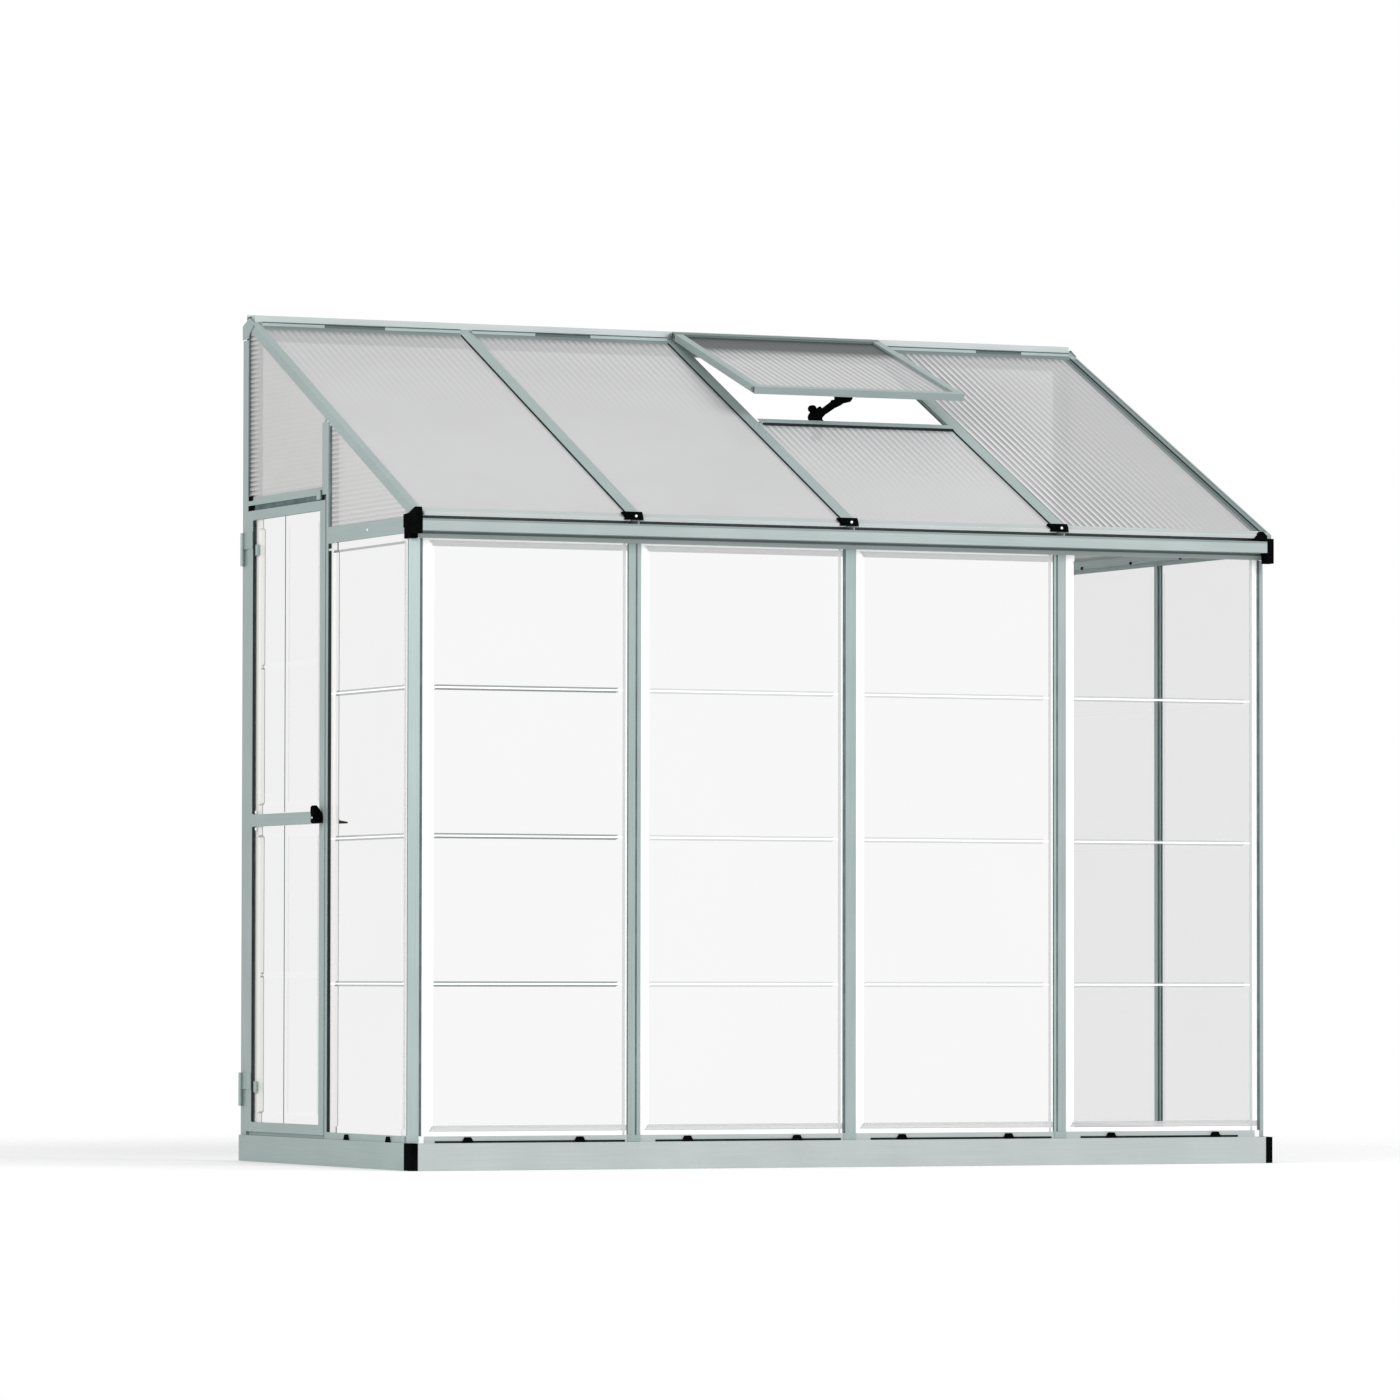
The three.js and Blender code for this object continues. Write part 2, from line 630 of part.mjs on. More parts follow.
function roofPane(k) {
  const clear = rafter.web / 2 + FIT;
  const end = post.sideInset + SHEET + FIT;
  const x0 = k === 1 ? end : bayLine(k - 1) + clear;
  const x1 = k === BAYS ? LENGTH - end : bayLine(k) - clear;
  const y1 = k === VENT_BAY_INDEX ? sillWebAt - FIT : ridgeBack - FIT;
  const top = -SHEET - FIT;
  return upSlope(rectangle(x0, top - TWIN_PANE, x1, top), rafter.front, y1);
}

// The hollow ridge bar against the wall, with a nose over the tops of the rafters
function ridgeBar() {
  const over = (y) => roofTop(y) + FIT;
  const section = [
    [DEPTH, ridgeBottom], [DEPTH, ridgeTop + ridge.fin], [DEPTH - ridge.finThickness, ridgeTop + ridge.fin],
    [DEPTH - ridge.finThickness, ridgeTop], [ridgeNose, ridgeTop], [ridgeNose, over(ridgeNose)],
    [ridgeBack, over(ridgeBack)], [ridgeBack, ridgeBottom],
  ];
  const hollow = rectangle(ridgeBack + WALL, ridgeBottom + WALL, DEPTH - WALL, ridgeTop - WALL);
  return lengthwise(section, ridge.inset, LENGTH - ridge.inset, [hollow]);
}

// The sill across the vent bay: it caps the short roof panel and carries the stay's lug
function ventSill() {
  const x0 = bayLine(VENT_BAY_INDEX - 1) + rafter.shelf + FIT;
  const x1 = bayLine(VENT_BAY_INDEX) - rafter.capLeft - FIT;
  const web = sillWebAt;
  const pocket = SHEET + twinGroove;
  const section = [
    [sillFront, 0], [sillFront, -SHEET], [web, -SHEET], [web, -pocket],
    [sillFront, -pocket], [sillFront, -pocket - SHEET], [sillRear, -pocket - SHEET],
    [sillRear, -pocket], [web + vent.sillWeb, -pocket], [web + vent.sillWeb, -SHEET],
    [sillRear, -SHEET], [sillRear, 0],
  ];
  const sheared = section.map(([y, z]) => [y, roofTop(y) + z]);
  const lugFront = sillRear - WALL;
  const lugTop = roofTop(sillRear) - pocket;
  const lugRear = stayPivot.y - stay.thickness / 2 - FIT;
  const plate = rectangle(lugRear - stay.lugThickness, stayPivot.z - stay.boss, lugRear, lugTop);
  const shelf = rectangle(lugFront, lugTop - stay.lugThickness, lugRear, lugTop);
  const lug = (part) => lengthwise(part, stayPivot.x - stay.lugWidth / 2, stayPivot.x + stay.lugWidth / 2);
  return join(lengthwise(sheared, x0, x1), lug(plate), lug(shelf));
}

// The plastic clip on the foot of an inner rafter, a little to its left
function rafterClip(k) {
  const face = rafter.front - FIT;
  const front = face - clip.thickness;
  const over = (y) => roofTop(y) + FIT;
  const section = [
    [front, eaves.clip], [face, eaves.clip], [face, over(face)], [clip.lap, over(clip.lap)],
    [clip.lap, over(clip.lap) + clip.crown], [front + clip.corner, over(clip.lap) + clip.crown],
    [front, over(face) + clip.crown],
  ];
  const middle = bayLine(k) - clip.aside;
  return lengthwise(section, middle - clip.width / 2, middle + clip.width / 2);
}

// A capsule-ended bar in [x, z] between two points, running from y0 to y1
function link(from, to, width, y0, y1) {
  const [dx, dz] = [to[0] - from[0], to[1] - from[1]];
  const angle = Math.atan2(dz, dx);
  const shape = new THREE.Shape();
  shape.absarc(from[0], from[1], width / 2, angle + Math.PI / 2, angle + 1.5 * Math.PI, false);
  shape.absarc(to[0], to[1], width / 2, angle - Math.PI / 2, angle + Math.PI / 2, false);
  const settings = { depth: y1 - y0, bevelEnabled: false, curveSegments: 6 };
  const geometry = new THREE.ExtrudeGeometry(shape, settings);
  return place(geometry, [0, y1, 0], X, Z);
}

// The fixed half of a door hinge: the lower knuckle with its pin, and the leaf on the wall post
function hingeHalf(z0) {
  const middle = z0 + hinge.height / 2 - FIT / 2;
  const knuckle = cylinder(hinge.radius, middle - z0);
  const pin = cylinder(hinge.pin, hinge.height, 16);
  const face = post.sideInset - FIT;
  const leaf = rectangle(face - hinge.leaf, hingeAxisY, face, DEPTH);
  const web = rectangle(hinge.x, hingeAxisY + hinge.radius - hinge.leaf, face, hingeAxisY + hinge.radius);
  return join(
    stand(knuckle, hinge.x, hingeAxisY, z0, middle - z0),
    stand(pin, hinge.x, hingeAxisY, z0, hinge.height),
    upright(leaf, z0, z0 + hinge.height),
    upright(web, z0, middle),
  );
}

// Stands a cylinder of a known length on a height
function stand(geometry, x, y, z, length) {
  return geometry.rotateX(Math.PI / 2).translate(x, y, z + length / 2);
}

// The moving half: the upper knuckle with its bore, and the strap on the door's stile
function hingeStrap(z0) {
  const low = z0 + hinge.height / 2 + FIT / 2;
  const height = z0 + hinge.height - low;
  const strap = rectangle(
    door.outer - hinge.leaf, doorRear - hinge.strapReach, door.outer + FIT, hingeAxisY - hinge.leaf,
  );
  return join(
    stand(cylinder(hinge.radius, height), hinge.x, hingeAxisY, low, height),
    upright(strap, low, z0 + hinge.height),
  );
}

function hingeBore(z0) {
  const length = hinge.height + 2 * OVERRUN;
  return stand(cylinder(hinge.pin + FIT, length, 16), hinge.x, hingeAxisY, z0 - OVERRUN, length);
}

// A door stile in [x, y]: a hollow bar with a glazing groove along the side that faces the pane
function doorStile(y0, width, grooveAtRear) {
  const inner = door.outer + door.thickness;
  const middle = (door.outer + inner) / 2;
  const half = clearGroove / 2;
  const y1 = y0 + width;
  const front = [
    [door.outer, y0], [door.outer, y1], [middle - half, y1], [middle - half, y1 - door.groove],
    [middle + half, y1 - door.groove], [middle + half, y1], [inner, y1], [inner, y0],
  ];
  const hollow = rectangle(
    door.outer + door.wall, y0 + door.wall, inner - door.wall, y1 - door.groove - door.wall,
  );
  const turn = (points) => (grooveAtRear ? points : points.map(([x, y]) => [x, y0 + y1 - y]));
  return upright(turn(front), doorBottom, doorTop, [turn(hollow)]);
}

function latchStile() {
  const bore = cylinder(handle.spindle + FIT, door.thickness + 2 * OVERRUN);
  bore.rotateZ(Math.PI / 2).translate(door.outer + door.thickness / 2, handleY, handleZ);
  return cut(doorStile(doorFront, door.latchStile, true), bore);
}

function hingeStile() {
  const bar = doorStile(doorRear - door.hingeStile, door.hingeStile, false);
  const straps = [hingeHeights.lower, hingeHeights.upper].map(hingeStrap);
  return cut(join(bar, ...straps), hingeBore(hingeHeights.lower), hingeBore(hingeHeights.upper));
}

// A door rail between the stiles, with a glazing groove above, below or both
function doorRail(z0, z1, grooveBelow, grooveAbove) {
  const outer = door.outer;
  const inner = outer + door.thickness;
  const middle = (outer + inner) / 2;
  const half = clearGroove / 2;
  const low = z0 + door.groove;
  const high = z1 - door.groove;
  const below = [[middle - half, z0], [middle - half, low], [middle + half, low], [middle + half, z0]];
  const above = [[middle + half, z1], [middle + half, high], [middle - half, high], [middle - half, z1]];
  const section = [
    [outer, z0], ...(grooveBelow ? below : []), [inner, z0], [inner, z1], ...(grooveAbove ? above : []),
    [outer, z1],
  ];
  const hollow = rectangle(
    outer + door.wall, (grooveBelow ? low : z0) + door.wall, inner - door.wall,
    (grooveAbove ? high : z1) - door.wall,
  );
  const start = doorFront + door.latchStile + FIT;
  return crosswise(section, start, doorRear - door.hingeStile - FIT, [hollow]);
}

// A clear pane in the door, held in the grooves between two heights of rail edges
function doorPane(z0, z1) {
  const inGroove = door.groove - FIT;
  const y0 = doorFront + door.latchStile - inGroove;
  const y1 = doorRear - door.hingeStile + inGroove;
  const bottom = z0 - inGroove;
  const top = z1 + inGroove;
  const heights = doorRibShares.map((share) => doorBottom + share * (doorTop - doorBottom));
  const ribs = heights.filter((height) => height > bottom && height < top).map((height) => height - bottom);
  const geometry = pressedPane(y1 - y0, top - bottom, ribs, [(y1 - y0) / 2]);
  const face = door.outer + (door.thickness - CLEAR_PANE) / 2;
  return place(geometry, [face, y1, bottom], Y.clone().negate(), Z);
}

// The door handle: a grip outside, a spindle through the stile, and a cam and blade inside
function doorHandle() {
  const along = (geometry, x0, x1) => geometry.rotateZ(Math.PI / 2).translate((x0 + x1) / 2, 0, 0);
  const block = (x0, x1, halfWidth, z0, z1) =>
    lengthwise(rectangle(-halfWidth, z0, halfWidth, z1), x0, x1);
  const face = door.outer - FIT;
  const neckOuter = face - handle.neck;
  const gripBottom = -handle.gripHeight * gripBelowShare;
  const hubEnd = hubStart + handle.hubLength;
  const bladeTop = handle.bladeThickness - handle.neck;
  const grip = gripOutline(handle.gripWidth, handle.gripHeight, gripBottom);
  const parts = [
    along(cylinder(handle.neck, handle.neck), neckOuter, face),
    along(cylinder(handle.spindle, hubEnd - neckOuter), neckOuter, hubEnd),
    lengthwise(grip, -handle.gripReach, neckOuter + FIT),
    block(hubStart, hubEnd, handle.hub, -handle.neck, handle.neck - SHEET),
    block(hubStart - FIT, hubStart + handle.camThickness, handle.camWidth / 2, 0, handle.cam),
    block(hubEnd - FIT, hubEnd + handle.blade, handle.camWidth / 2, -handle.neck, bladeTop),
  ];
  return join(...parts).translate(0, handleY, handleZ);
}

// A grip outline in [y, z] with rounded corners, in a given number of steps round each
function gripOutline(width, height, bottom, steps = 3) {
  const radius = width * gripCornerShare;
  const y = width / 2 - radius;
  const [low, high] = [bottom + radius, bottom + height - radius];
  const points = [];
  for (const [quarter, centre] of [[y, low], [y, high], [-y, high], [-y, low]].entries()) {
    for (let step = 0; step <= steps; step++) {
      const angle = (quarter - 1 + step / steps) * (Math.PI / 2);
      points.push([centre[0] + radius * Math.cos(angle), centre[1] + radius * Math.sin(angle)]);
    }
  }
  return points;
}

// A vent rail section in [across, height], with a groove for the pane on its far side
function ventRailSection(start, direction) {
  const half = vent.height / 2;
  const grooveHalf = twinGroove / 2;
  const at = (distance) => start + direction * distance;
  const section = [
    [at(0), -half], [at(vent.rail), -half], [at(vent.rail), -grooveHalf],
    [at(vent.rail - vent.groove), -grooveHalf], [at(vent.rail - vent.groove), grooveHalf],
    [at(vent.rail), grooveHalf], [at(vent.rail), half], [at(0), half],
  ];
  const hollow = [
    [at(WALL), WALL - half], [at(vent.rail - vent.groove - WALL), WALL - half],
    [at(vent.rail - vent.groove - WALL), half - WALL], [at(WALL), half - WALL],
  ];
  return [section, [hollow]];
}

function ventHingeRail() {
  const [section, hollow] = ventRailSection(-ventHead, -1);
  const bead = cylinder(vent.bead, ventRight - ventLeft, 16);
  bead.rotateZ(Math.PI / 2).translate((ventLeft + ventRight) / 2, 0, 0);
  const neck = rectangle(-ventHead - FIT, -vent.neck / 2, 0, vent.neck / 2);
  return join(
    lengthwise(section, ventLeft, ventRight, hollow), bead, lengthwise(neck, ventLeft, ventRight),
  );
}

// The bottom rail carries the bracket that the stay props
function ventBottomRail() {
  const [section, hollow] = ventRailSection(-vent.length, 1);
  const half = vent.height / 2;
  const rear = vent.rail - vent.length;
  const foot = rectangle(
    rear - vent.bracketThickness, -half - vent.bracketThickness, rear + vent.bracketLength, -half,
  );
  const heel = rectangle(rear - vent.bracketThickness, -half - WALL / 2, rear, WALL - half);
  const x0 = stayPivot.x + stay.tipX - vent.bracketWidth / 2;
  return join(
    lengthwise(section, ventLeft, ventRight, hollow),
    lengthwise(foot, x0, x0 + vent.bracketWidth),
    lengthwise(heel, x0, x0 + vent.bracketWidth),
  );
}

function ventSideRail(start, direction) {
  const [section, hollow] = ventRailSection(start, direction);
  return crosswise(section, vent.rail - vent.length + FIT, -ventHead - vent.rail - FIT, hollow);
}

function ventPane() {
  const edge = vent.rail - vent.groove + FIT;
  const section = rectangle(ventLeft + edge, -TWIN_PANE / 2, ventRight - edge, TWIN_PANE / 2);
  return crosswise(section, edge - vent.length, -ventHead - edge);
}

// Height of the underside of the vent's bracket over a distance from the front, as the vent stands
function bracketUnderside(y) {
  const up = -vent.height / 2 - vent.bracketThickness;
  const down = (ventAxisY - y - up * Math.sin(ventAngle)) / Math.cos(ventAngle);
  return ventAxisZ - down * Math.sin(ventAngle) + up * Math.cos(ventAngle);
}

// The stay: a cranked arm on a pivot, with a clamp knob at the bend and its tip under the bracket
function ventStay() {
  const front = stayPivot.y - stay.thickness / 2;
  const rear = stayPivot.y + stay.thickness / 2;
  const bend = [stayPivot.x + stay.knobX, stayPivot.z + stay.knobZ];
  const tip = [stayPivot.x + stay.tipX, bracketUnderside(front) - stay.tipGap - stay.arm / 2];
  const knob = cylinder(stay.knob, stay.knobDepth + FIT, 12);
  knob.translate(bend[0], rear + (stay.knobDepth - FIT) / 2, bend[1]);
  const boss = cylinder(stay.boss, stay.thickness, 24).translate(stayPivot.x, stayPivot.y, stayPivot.z);
  const lowerArm = link([stayPivot.x, stayPivot.z], bend, stay.arm, front, rear);
  return join(boss, lowerArm, link(bend, tip, stay.arm, front, rear), knob);
}

// Puts meshes in a group whose own origin is the point they turn about
function turningGroup(name, pivot, meshes) {
  const group = new THREE.Group();
  group.name = name;
  group.position.set(...pivot);
  for (const mesh of meshes) {
    mesh.position.set(...pivot).negate();
    group.add(mesh);
  }
  return group;
}

function rootPieces() {
  const wallFace = DEPTH - wallPost.width - FIT;
  const gableBottom = beamTop - beam.lip + FIT;
  const beamPaneTop = slotTop() - FIT;
  const sideClear = mullion.web / 2 + FIT;
  const headerBottom = eaves.header + header.height - header.lip + FIT;
  const pieces = [
    piece("base_front", baseFront(), "aluminium"),
    piece("eaves_gutter", eavesGutter(), "aluminium"),
    piece("door_jamb", doorJamb(), "aluminium"),
    piece("door_header", doorHeader(), "aluminium"),
    piece("side_beam_left", sideBeam("left", jambFront - FIT), "aluminium"),
    piece("side_beam_right", sideBeam("right", wallFace), "aluminium"),
    piece("side_mullion_right", sideMullion(), "aluminium"),
    piece("side_panel_left",
      uprightPane("left", sidePaneStart(), jambFront - FIT, beamPaneTop), "clearPane"),
    piece("side_panel_right_front",
      uprightPane("right", sidePaneStart(), sideMullionAt - sideClear, beamPaneTop), "clearPane"),
    piece("side_panel_right_rear",
      uprightPane("right", sideMullionAt + sideClear, wallFace, beamPaneTop), "clearPane"),
    piece("gable_panel_left_front", gableFront("left", jambFront - FIT), "twinPane"),
    piece("gable_panel_left_rear",
      gablePanel("left", jambFront + jamb.cover, wallFace, headerBottom), "twinPane"),
    piece("gable_panel_right", gableFront("right", wallFace), "twinPane"),
    piece("ridge_bar", ridgeBar(), "aluminium"),
    piece("vent_sill", ventSill(), "aluminium"),
    piece("hinge_lower", hingeHalf(hingeHeights.lower), "aluminium"),
    piece("hinge_upper", hingeHalf(hingeHeights.upper), "aluminium"),
  ];
  for (const side of ["left", "right"]) {
    pieces.push(piece(`base_${side}`, baseSide(side), "aluminium"));
    pieces.push(piece(`base_corner_${side}`, baseCorner(side), "blackPlastic"));
    pieces.push(piece(`corner_post_${side}`, cornerPost(side), "aluminium"));
    pieces.push(piece(`gutter_cap_${side}`, gutterCap(side), "blackPlastic"));
    pieces.push(piece(`wall_post_${side}`, wallPostSolid(side), "aluminium"));
  }
  for (let k = 1; k < BAYS; k++) {
    pieces.push(piece(`front_mullion_${k}`, frontMullion(k), "aluminium"));
    pieces.push(piece(`rafter_clip_${k}`, rafterClip(k), "blackPlastic"));
  }
  for (let k = 1; k <= BAYS; k++) {
    pieces.push(piece(`front_panel_${k}`, frontPane(k), "clearPane"));
    pieces.push(piece(`roof_panel_${k}`, roofPane(k), "twinPane"));
  }
  for (let k = 0; k <= BAYS; k++) {
    const shape = k === 0 ? endRafter("left") : k === BAYS ? endRafter("right") : innerRafter(k);
    pieces.push(piece(`rafter_${k + 1}`, shape, "aluminium"));
  }
  return pieces;
}

function doorGroup() {
  const midTop = midRailBottom + door.midRail;
  const lowTop = doorBottom + door.bottomRail;
  const topLow = doorTop - door.topRail;
  const group = turningGroup("door", [hinge.x, hingeAxisY, doorBottom], [
    piece("door_stile_hinge", hingeStile(), "aluminium"),
    piece("door_stile_latch", latchStile(), "aluminium"),
    piece("door_rail_top", doorRail(topLow, doorTop, true, false), "aluminium"),
    piece("door_rail_middle", doorRail(midRailBottom, midTop, true, true), "aluminium"),
    piece("door_rail_bottom", doorRail(doorBottom, lowTop, false, true), "aluminium"),
    piece("door_panel_lower", doorPane(lowTop, midRailBottom), "clearPane"),
    piece("door_panel_upper", doorPane(midTop, topLow), "clearPane"),
  ]);
  const latch = turningGroup("latch", [0, handleY, handleZ], [
    piece("door_handle", doorHandle(), "blackPlastic"),
  ]);
  latch.position.sub(group.position);
  group.add(latch);
  return group;
}

function ventGroup() {
  const group = new THREE.Group();
  group.name = "vent";
  group.position.set(0, ventAxisY, ventAxisZ);
  group.rotation.x = ventAngle;
  group.add(
    piece("vent_hinge_rail", ventHingeRail(), "aluminium"),
    piece("vent_rail_bottom", ventBottomRail(), "aluminium"),
    piece("vent_rail_left", ventSideRail(ventLeft, 1), "aluminium"),
    piece("vent_rail_right", ventSideRail(ventRight, -1), "aluminium"),
    piece("vent_pane", ventPane(), "twinPane"),
  );
  return group;
}

const greenhouse = new THREE.Group();
greenhouse.name = "lean_to_greenhouse";
greenhouse.add(
  ...rootPieces(),
  doorGroup(),
  ventGroup(),
  turningGroup("stay", Object.values(stayPivot), [piece("vent_stay", ventStay(), "blackPlastic")]),
);

// The finished part stands on its origin: the middle of its plan, at the ground
const bounds = new THREE.Box3().setFromObject(greenhouse, true);
const middle = bounds.getCenter(new THREE.Vector3());
greenhouse.position.set(-middle.x, -middle.y, -bounds.min.z);

export default greenhouse;
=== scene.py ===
import json
import math

import bmesh
import bpy
from mathutils import Matrix, Vector


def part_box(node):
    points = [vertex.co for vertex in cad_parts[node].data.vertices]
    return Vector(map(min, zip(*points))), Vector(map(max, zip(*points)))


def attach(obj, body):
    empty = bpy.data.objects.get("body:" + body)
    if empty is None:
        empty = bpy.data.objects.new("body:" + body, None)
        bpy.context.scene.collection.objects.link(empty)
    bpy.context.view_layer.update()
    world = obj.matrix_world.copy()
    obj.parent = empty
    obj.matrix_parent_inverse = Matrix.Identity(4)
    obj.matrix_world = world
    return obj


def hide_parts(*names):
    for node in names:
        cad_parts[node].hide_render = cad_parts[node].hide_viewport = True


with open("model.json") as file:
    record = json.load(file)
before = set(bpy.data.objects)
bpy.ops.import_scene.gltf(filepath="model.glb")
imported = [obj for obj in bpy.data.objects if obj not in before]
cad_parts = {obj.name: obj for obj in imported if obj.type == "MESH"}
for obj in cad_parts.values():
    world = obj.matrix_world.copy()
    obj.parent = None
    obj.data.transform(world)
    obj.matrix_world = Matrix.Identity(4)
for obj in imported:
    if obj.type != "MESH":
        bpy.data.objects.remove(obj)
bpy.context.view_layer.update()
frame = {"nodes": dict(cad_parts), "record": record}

# Lengths are in millimetres from the front left corner of the base, and turned into metres here
MM = 0.001
CORNER = Vector((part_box("base_corner_left")[0].x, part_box("base_corner_left")[0].y, 0))


def at(x, y, z):
    """A point in the shared frame from millimetres along, back and up."""
    return CORNER + Vector((x, y, z)) * MM


def kit_box(name):
    """A node's lowest and highest corner, in millimetres from the corner of the base."""
    return [(corner - CORNER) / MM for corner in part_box(name)]


# Sizes of the frame that the added trim fits
LENGTH = kit_box("base_corner_right")[1].x
EAVES = 1718
SLOPE = math.tan(math.radians(26))
BAYS = 4
VENT_BAY = 3
BAY_INSET = 12.5
BAY = (LENGTH - 2 * BAY_INSET) / BAYS
# Reach of a rafter's cap to the left and right of its line, reach of the end caps, and clearance
CAP_LEFT = 24
CAP_RIGHT = 12
END_CAP = 28
FIT = 0.3
# Top of the sill that the panes stand in, and the heights between which they show
SILL = 71.2
PANE_LOW = 90
PANE_HIGH = 1645

# Pitch of the inner webs in the twin-wall sheets, and how dense these sheets are
ROOF_PITCH = 20.5
GABLE_PITCH = 12.9
TWIN_OPACITY = 0.66
# Heights of the clear panes' ribs as shares of the eaves' height, and the width of their flat tops
RIB_SHARES = (0.2823, 0.507, 0.7322)
RIB_CREST = 4.8
# Widths of the painted highlight edges of a front pane, and of the painted grey shade strips beside them
WHITE_LEFT = 27.5
WHITE_RIGHT = 7
WHITE_TOP = 4
WHITE_BOTTOM = 11
GREY_STRIP = 15
GREY_RIGHT = 7
# Tones painted on the clear panes: white for painted highlights, greys for painted shade on the ribs' slopes
WHITE = (1, 1, 1)
RIB_SLOPE_SHADE = (0.26, 0.285, 0.285)
FAINT_RIB_SLOPE_SHADE = (0.4, 0.42, 0.42)


def bay_line(k):
    return BAY_INSET + k * BAY


def roof_top(y):
    return EAVES + SLOPE * y


# Camera: the photograph's place and angle, in millimetres, degrees and pixels of its 1400-pixel frame
camera_place = (-7575.5, -18613.5, 499.3)
camera_yaw = 24.279
camera_pitch = 2.064
camera_roll = 0.086
focal_pixels = 7736
frame_pixels = 1400
sensor_width = 36

# Studio: brightness of the surroundings, of the background behind the object, and each lamp's place,
# width in metres and power in watts
surround_light = 0.75
background_light = 1.0
lamps = {"key": ((4.5, -6.5, 6.5), 4.0, 520), "fill": ((-6.5, -3.0, 3.5), 5.0, 260)}
lamp_target = (0, 0, 1.1)

# Floor: its tone, its radius in metres, the distances over which it fades, and its opacity before that
floor_tone = 0.86
floor_radius = 7
floor_fade = (1.6, 4.2)
floor_opacity = 0.8

# Materials


def new_material(name):
    material = bpy.data.materials.new(name)
    material.use_nodes = True
    tree = material.node_tree
    tree.nodes.clear()
    output = tree.nodes.new("ShaderNodeOutputMaterial")
    shader = tree.nodes.new("ShaderNodeBsdfPrincipled")
    tree.links.new(shader.outputs["BSDF"], output.inputs["Surface"])
    return material, tree, shader


def node(tree, kind, inputs=None, **settings):
    made = tree.nodes.new(kind)
    for key, value in settings.items():
        setattr(made, key, value)
    for key, value in (inputs or {}).items():
        if isinstance(value, bpy.types.NodeSocket):
            tree.links.new(value, made.inputs[key])
        else:
            made.inputs[key].default_value = value
    return made


def math_node(tree, operation, *values):
    return node(tree, "ShaderNodeMath", dict(enumerate(values)), operation=operation).outputs[0]


def times(tree, first, second):
    return math_node(tree, "MULTIPLY", first, second)


def minus(tree, first, second):
    return math_node(tree, "SUBTRACT", first, second)


def most(tree, first, *others):
    """The greatest of the values at each point."""
    for other in others:
        first = math_node(tree, "MAXIMUM", first, other)
    return first


def scaled(tree, value, low, high, out_low, out_high):
    numbers = {"Value": value, "From Min": low, "From Max": high, "To Min": out_low, "To Max": out_high}
    return node(tree, "ShaderNodeMapRange", numbers).outputs[0]


def above(tree, value, edge, soft=0.5):
    """One where the value is past the edge, and nought before it."""
    return scaled(tree, value, edge - soft, edge + soft, 0, 1)


def below(tree, value, edge, soft=0.5):
    """One where the value is short of the edge, and nought past it."""
    return scaled(tree, value, edge - soft, edge + soft, 1, 0)


def band(tree, value, low, high, soft=1.0):
    """One between low and high, and nought outside, with soft edges."""
    return times(tree, above(tree, value, low, soft), below(tree, value, high, soft))


def mix_colors(tree, first, second, factor):
    mixer = node(tree, "ShaderNodeMix", data_type="RGBA")
    colors = [socket for socket in mixer.inputs if socket.type == "RGBA"]
    for socket, value in zip([mixer.inputs["Factor"], *colors], [factor, first, second]):
        if isinstance(value, bpy.types.NodeSocket):
            tree.links.new(value, socket)
        else:
            socket.default_value = value
    return next(socket for socket in mixer.outputs if socket.type == "RGBA")


def ramp(tree, factor, stops):
    made = node(tree, "ShaderNodeValToRGB", {"Fac": factor})
    elements = made.color_ramp.elements
    while len(elements) < len(stops):
        elements.new(0.5)
    for element, (place, value) in zip(elements, stops):
        element.position = place
        element.color = (*value, 1) if isinstance(value, tuple) else (value, value, value, 1)
    return made.outputs["Color"]


def object_coordinates(tree, scale=(1, 1, 1)):
    coordinates = node(tree, "ShaderNodeTexCoord")
    mapping = node(tree, "ShaderNodeMapping", {"Vector": coordinates.outputs["Object"]})
    mapping.inputs["Scale"].default_value = scale
    return mapping.outputs["Vector"]


def split_coordinates(tree, kind="Object"):
    """A texture coordinate of the given kind and its X, Y and Z."""
    vector = node(tree, "ShaderNodeTexCoord").outputs[kind]
    return vector, node(tree, "ShaderNodeSeparateXYZ", {"Vector": vector}).outputs


def kit(tree, place, axis):
    """A shared coordinate in millimetres from the corner of the base."""
    value = minus(tree, place[axis], CORNER["XYZ".index(axis)])
    return math_node(tree, "DIVIDE", value, MM)


def bump(tree, shader, height, strength, distance):
    made = node(tree, "ShaderNodeBump", {"Height": height})
    made.inputs["Strength"].default_value = strength
    made.inputs["Distance"].default_value = distance
    tree.links.new(made.outputs["Normal"], shader.inputs["Normal"])


def noise(tree, vector, scale, detail=3):
    made = node(tree, "ShaderNodeTexNoise", {"Vector": vector, "Scale": scale, "Detail": detail})
    return made.outputs["Fac"]


def metal(name, dark, light, stretch, roughness=0.42, metallic=0.3, shade=None):
    """Satin anodised aluminium: faint draw lines along the bar and a soft cloudy tone."""
    material, tree, shader = new_material(name)
    lines = noise(tree, object_coordinates(tree, stretch), 420, 2)
    clouds = noise(tree, object_coordinates(tree), 5, 4)
    half = times(tree, math_node(tree, "ADD", lines, clouds), 0.5)
    tone = ramp(tree, half, [(0.3, dark), (0.7, light)])
    # Where shade is given, painted shade darkens the tone there.
    if shade:
        _, place = split_coordinates(tree)
        tone = mix_colors(tree, tone, (0.04, 0.055, 0.055, 1), shade(tree, place))
    tree.links.new(tone, shader.inputs["Base Color"])
    rough = scaled(tree, clouds, 0, 1, roughness - 0.06, roughness + 0.08)
    tree.links.new(rough, shader.inputs["Roughness"])
    shader.inputs["Metallic"].default_value = metallic
    bump(tree, shader, lines, 0.06, 0.0004)
    return material


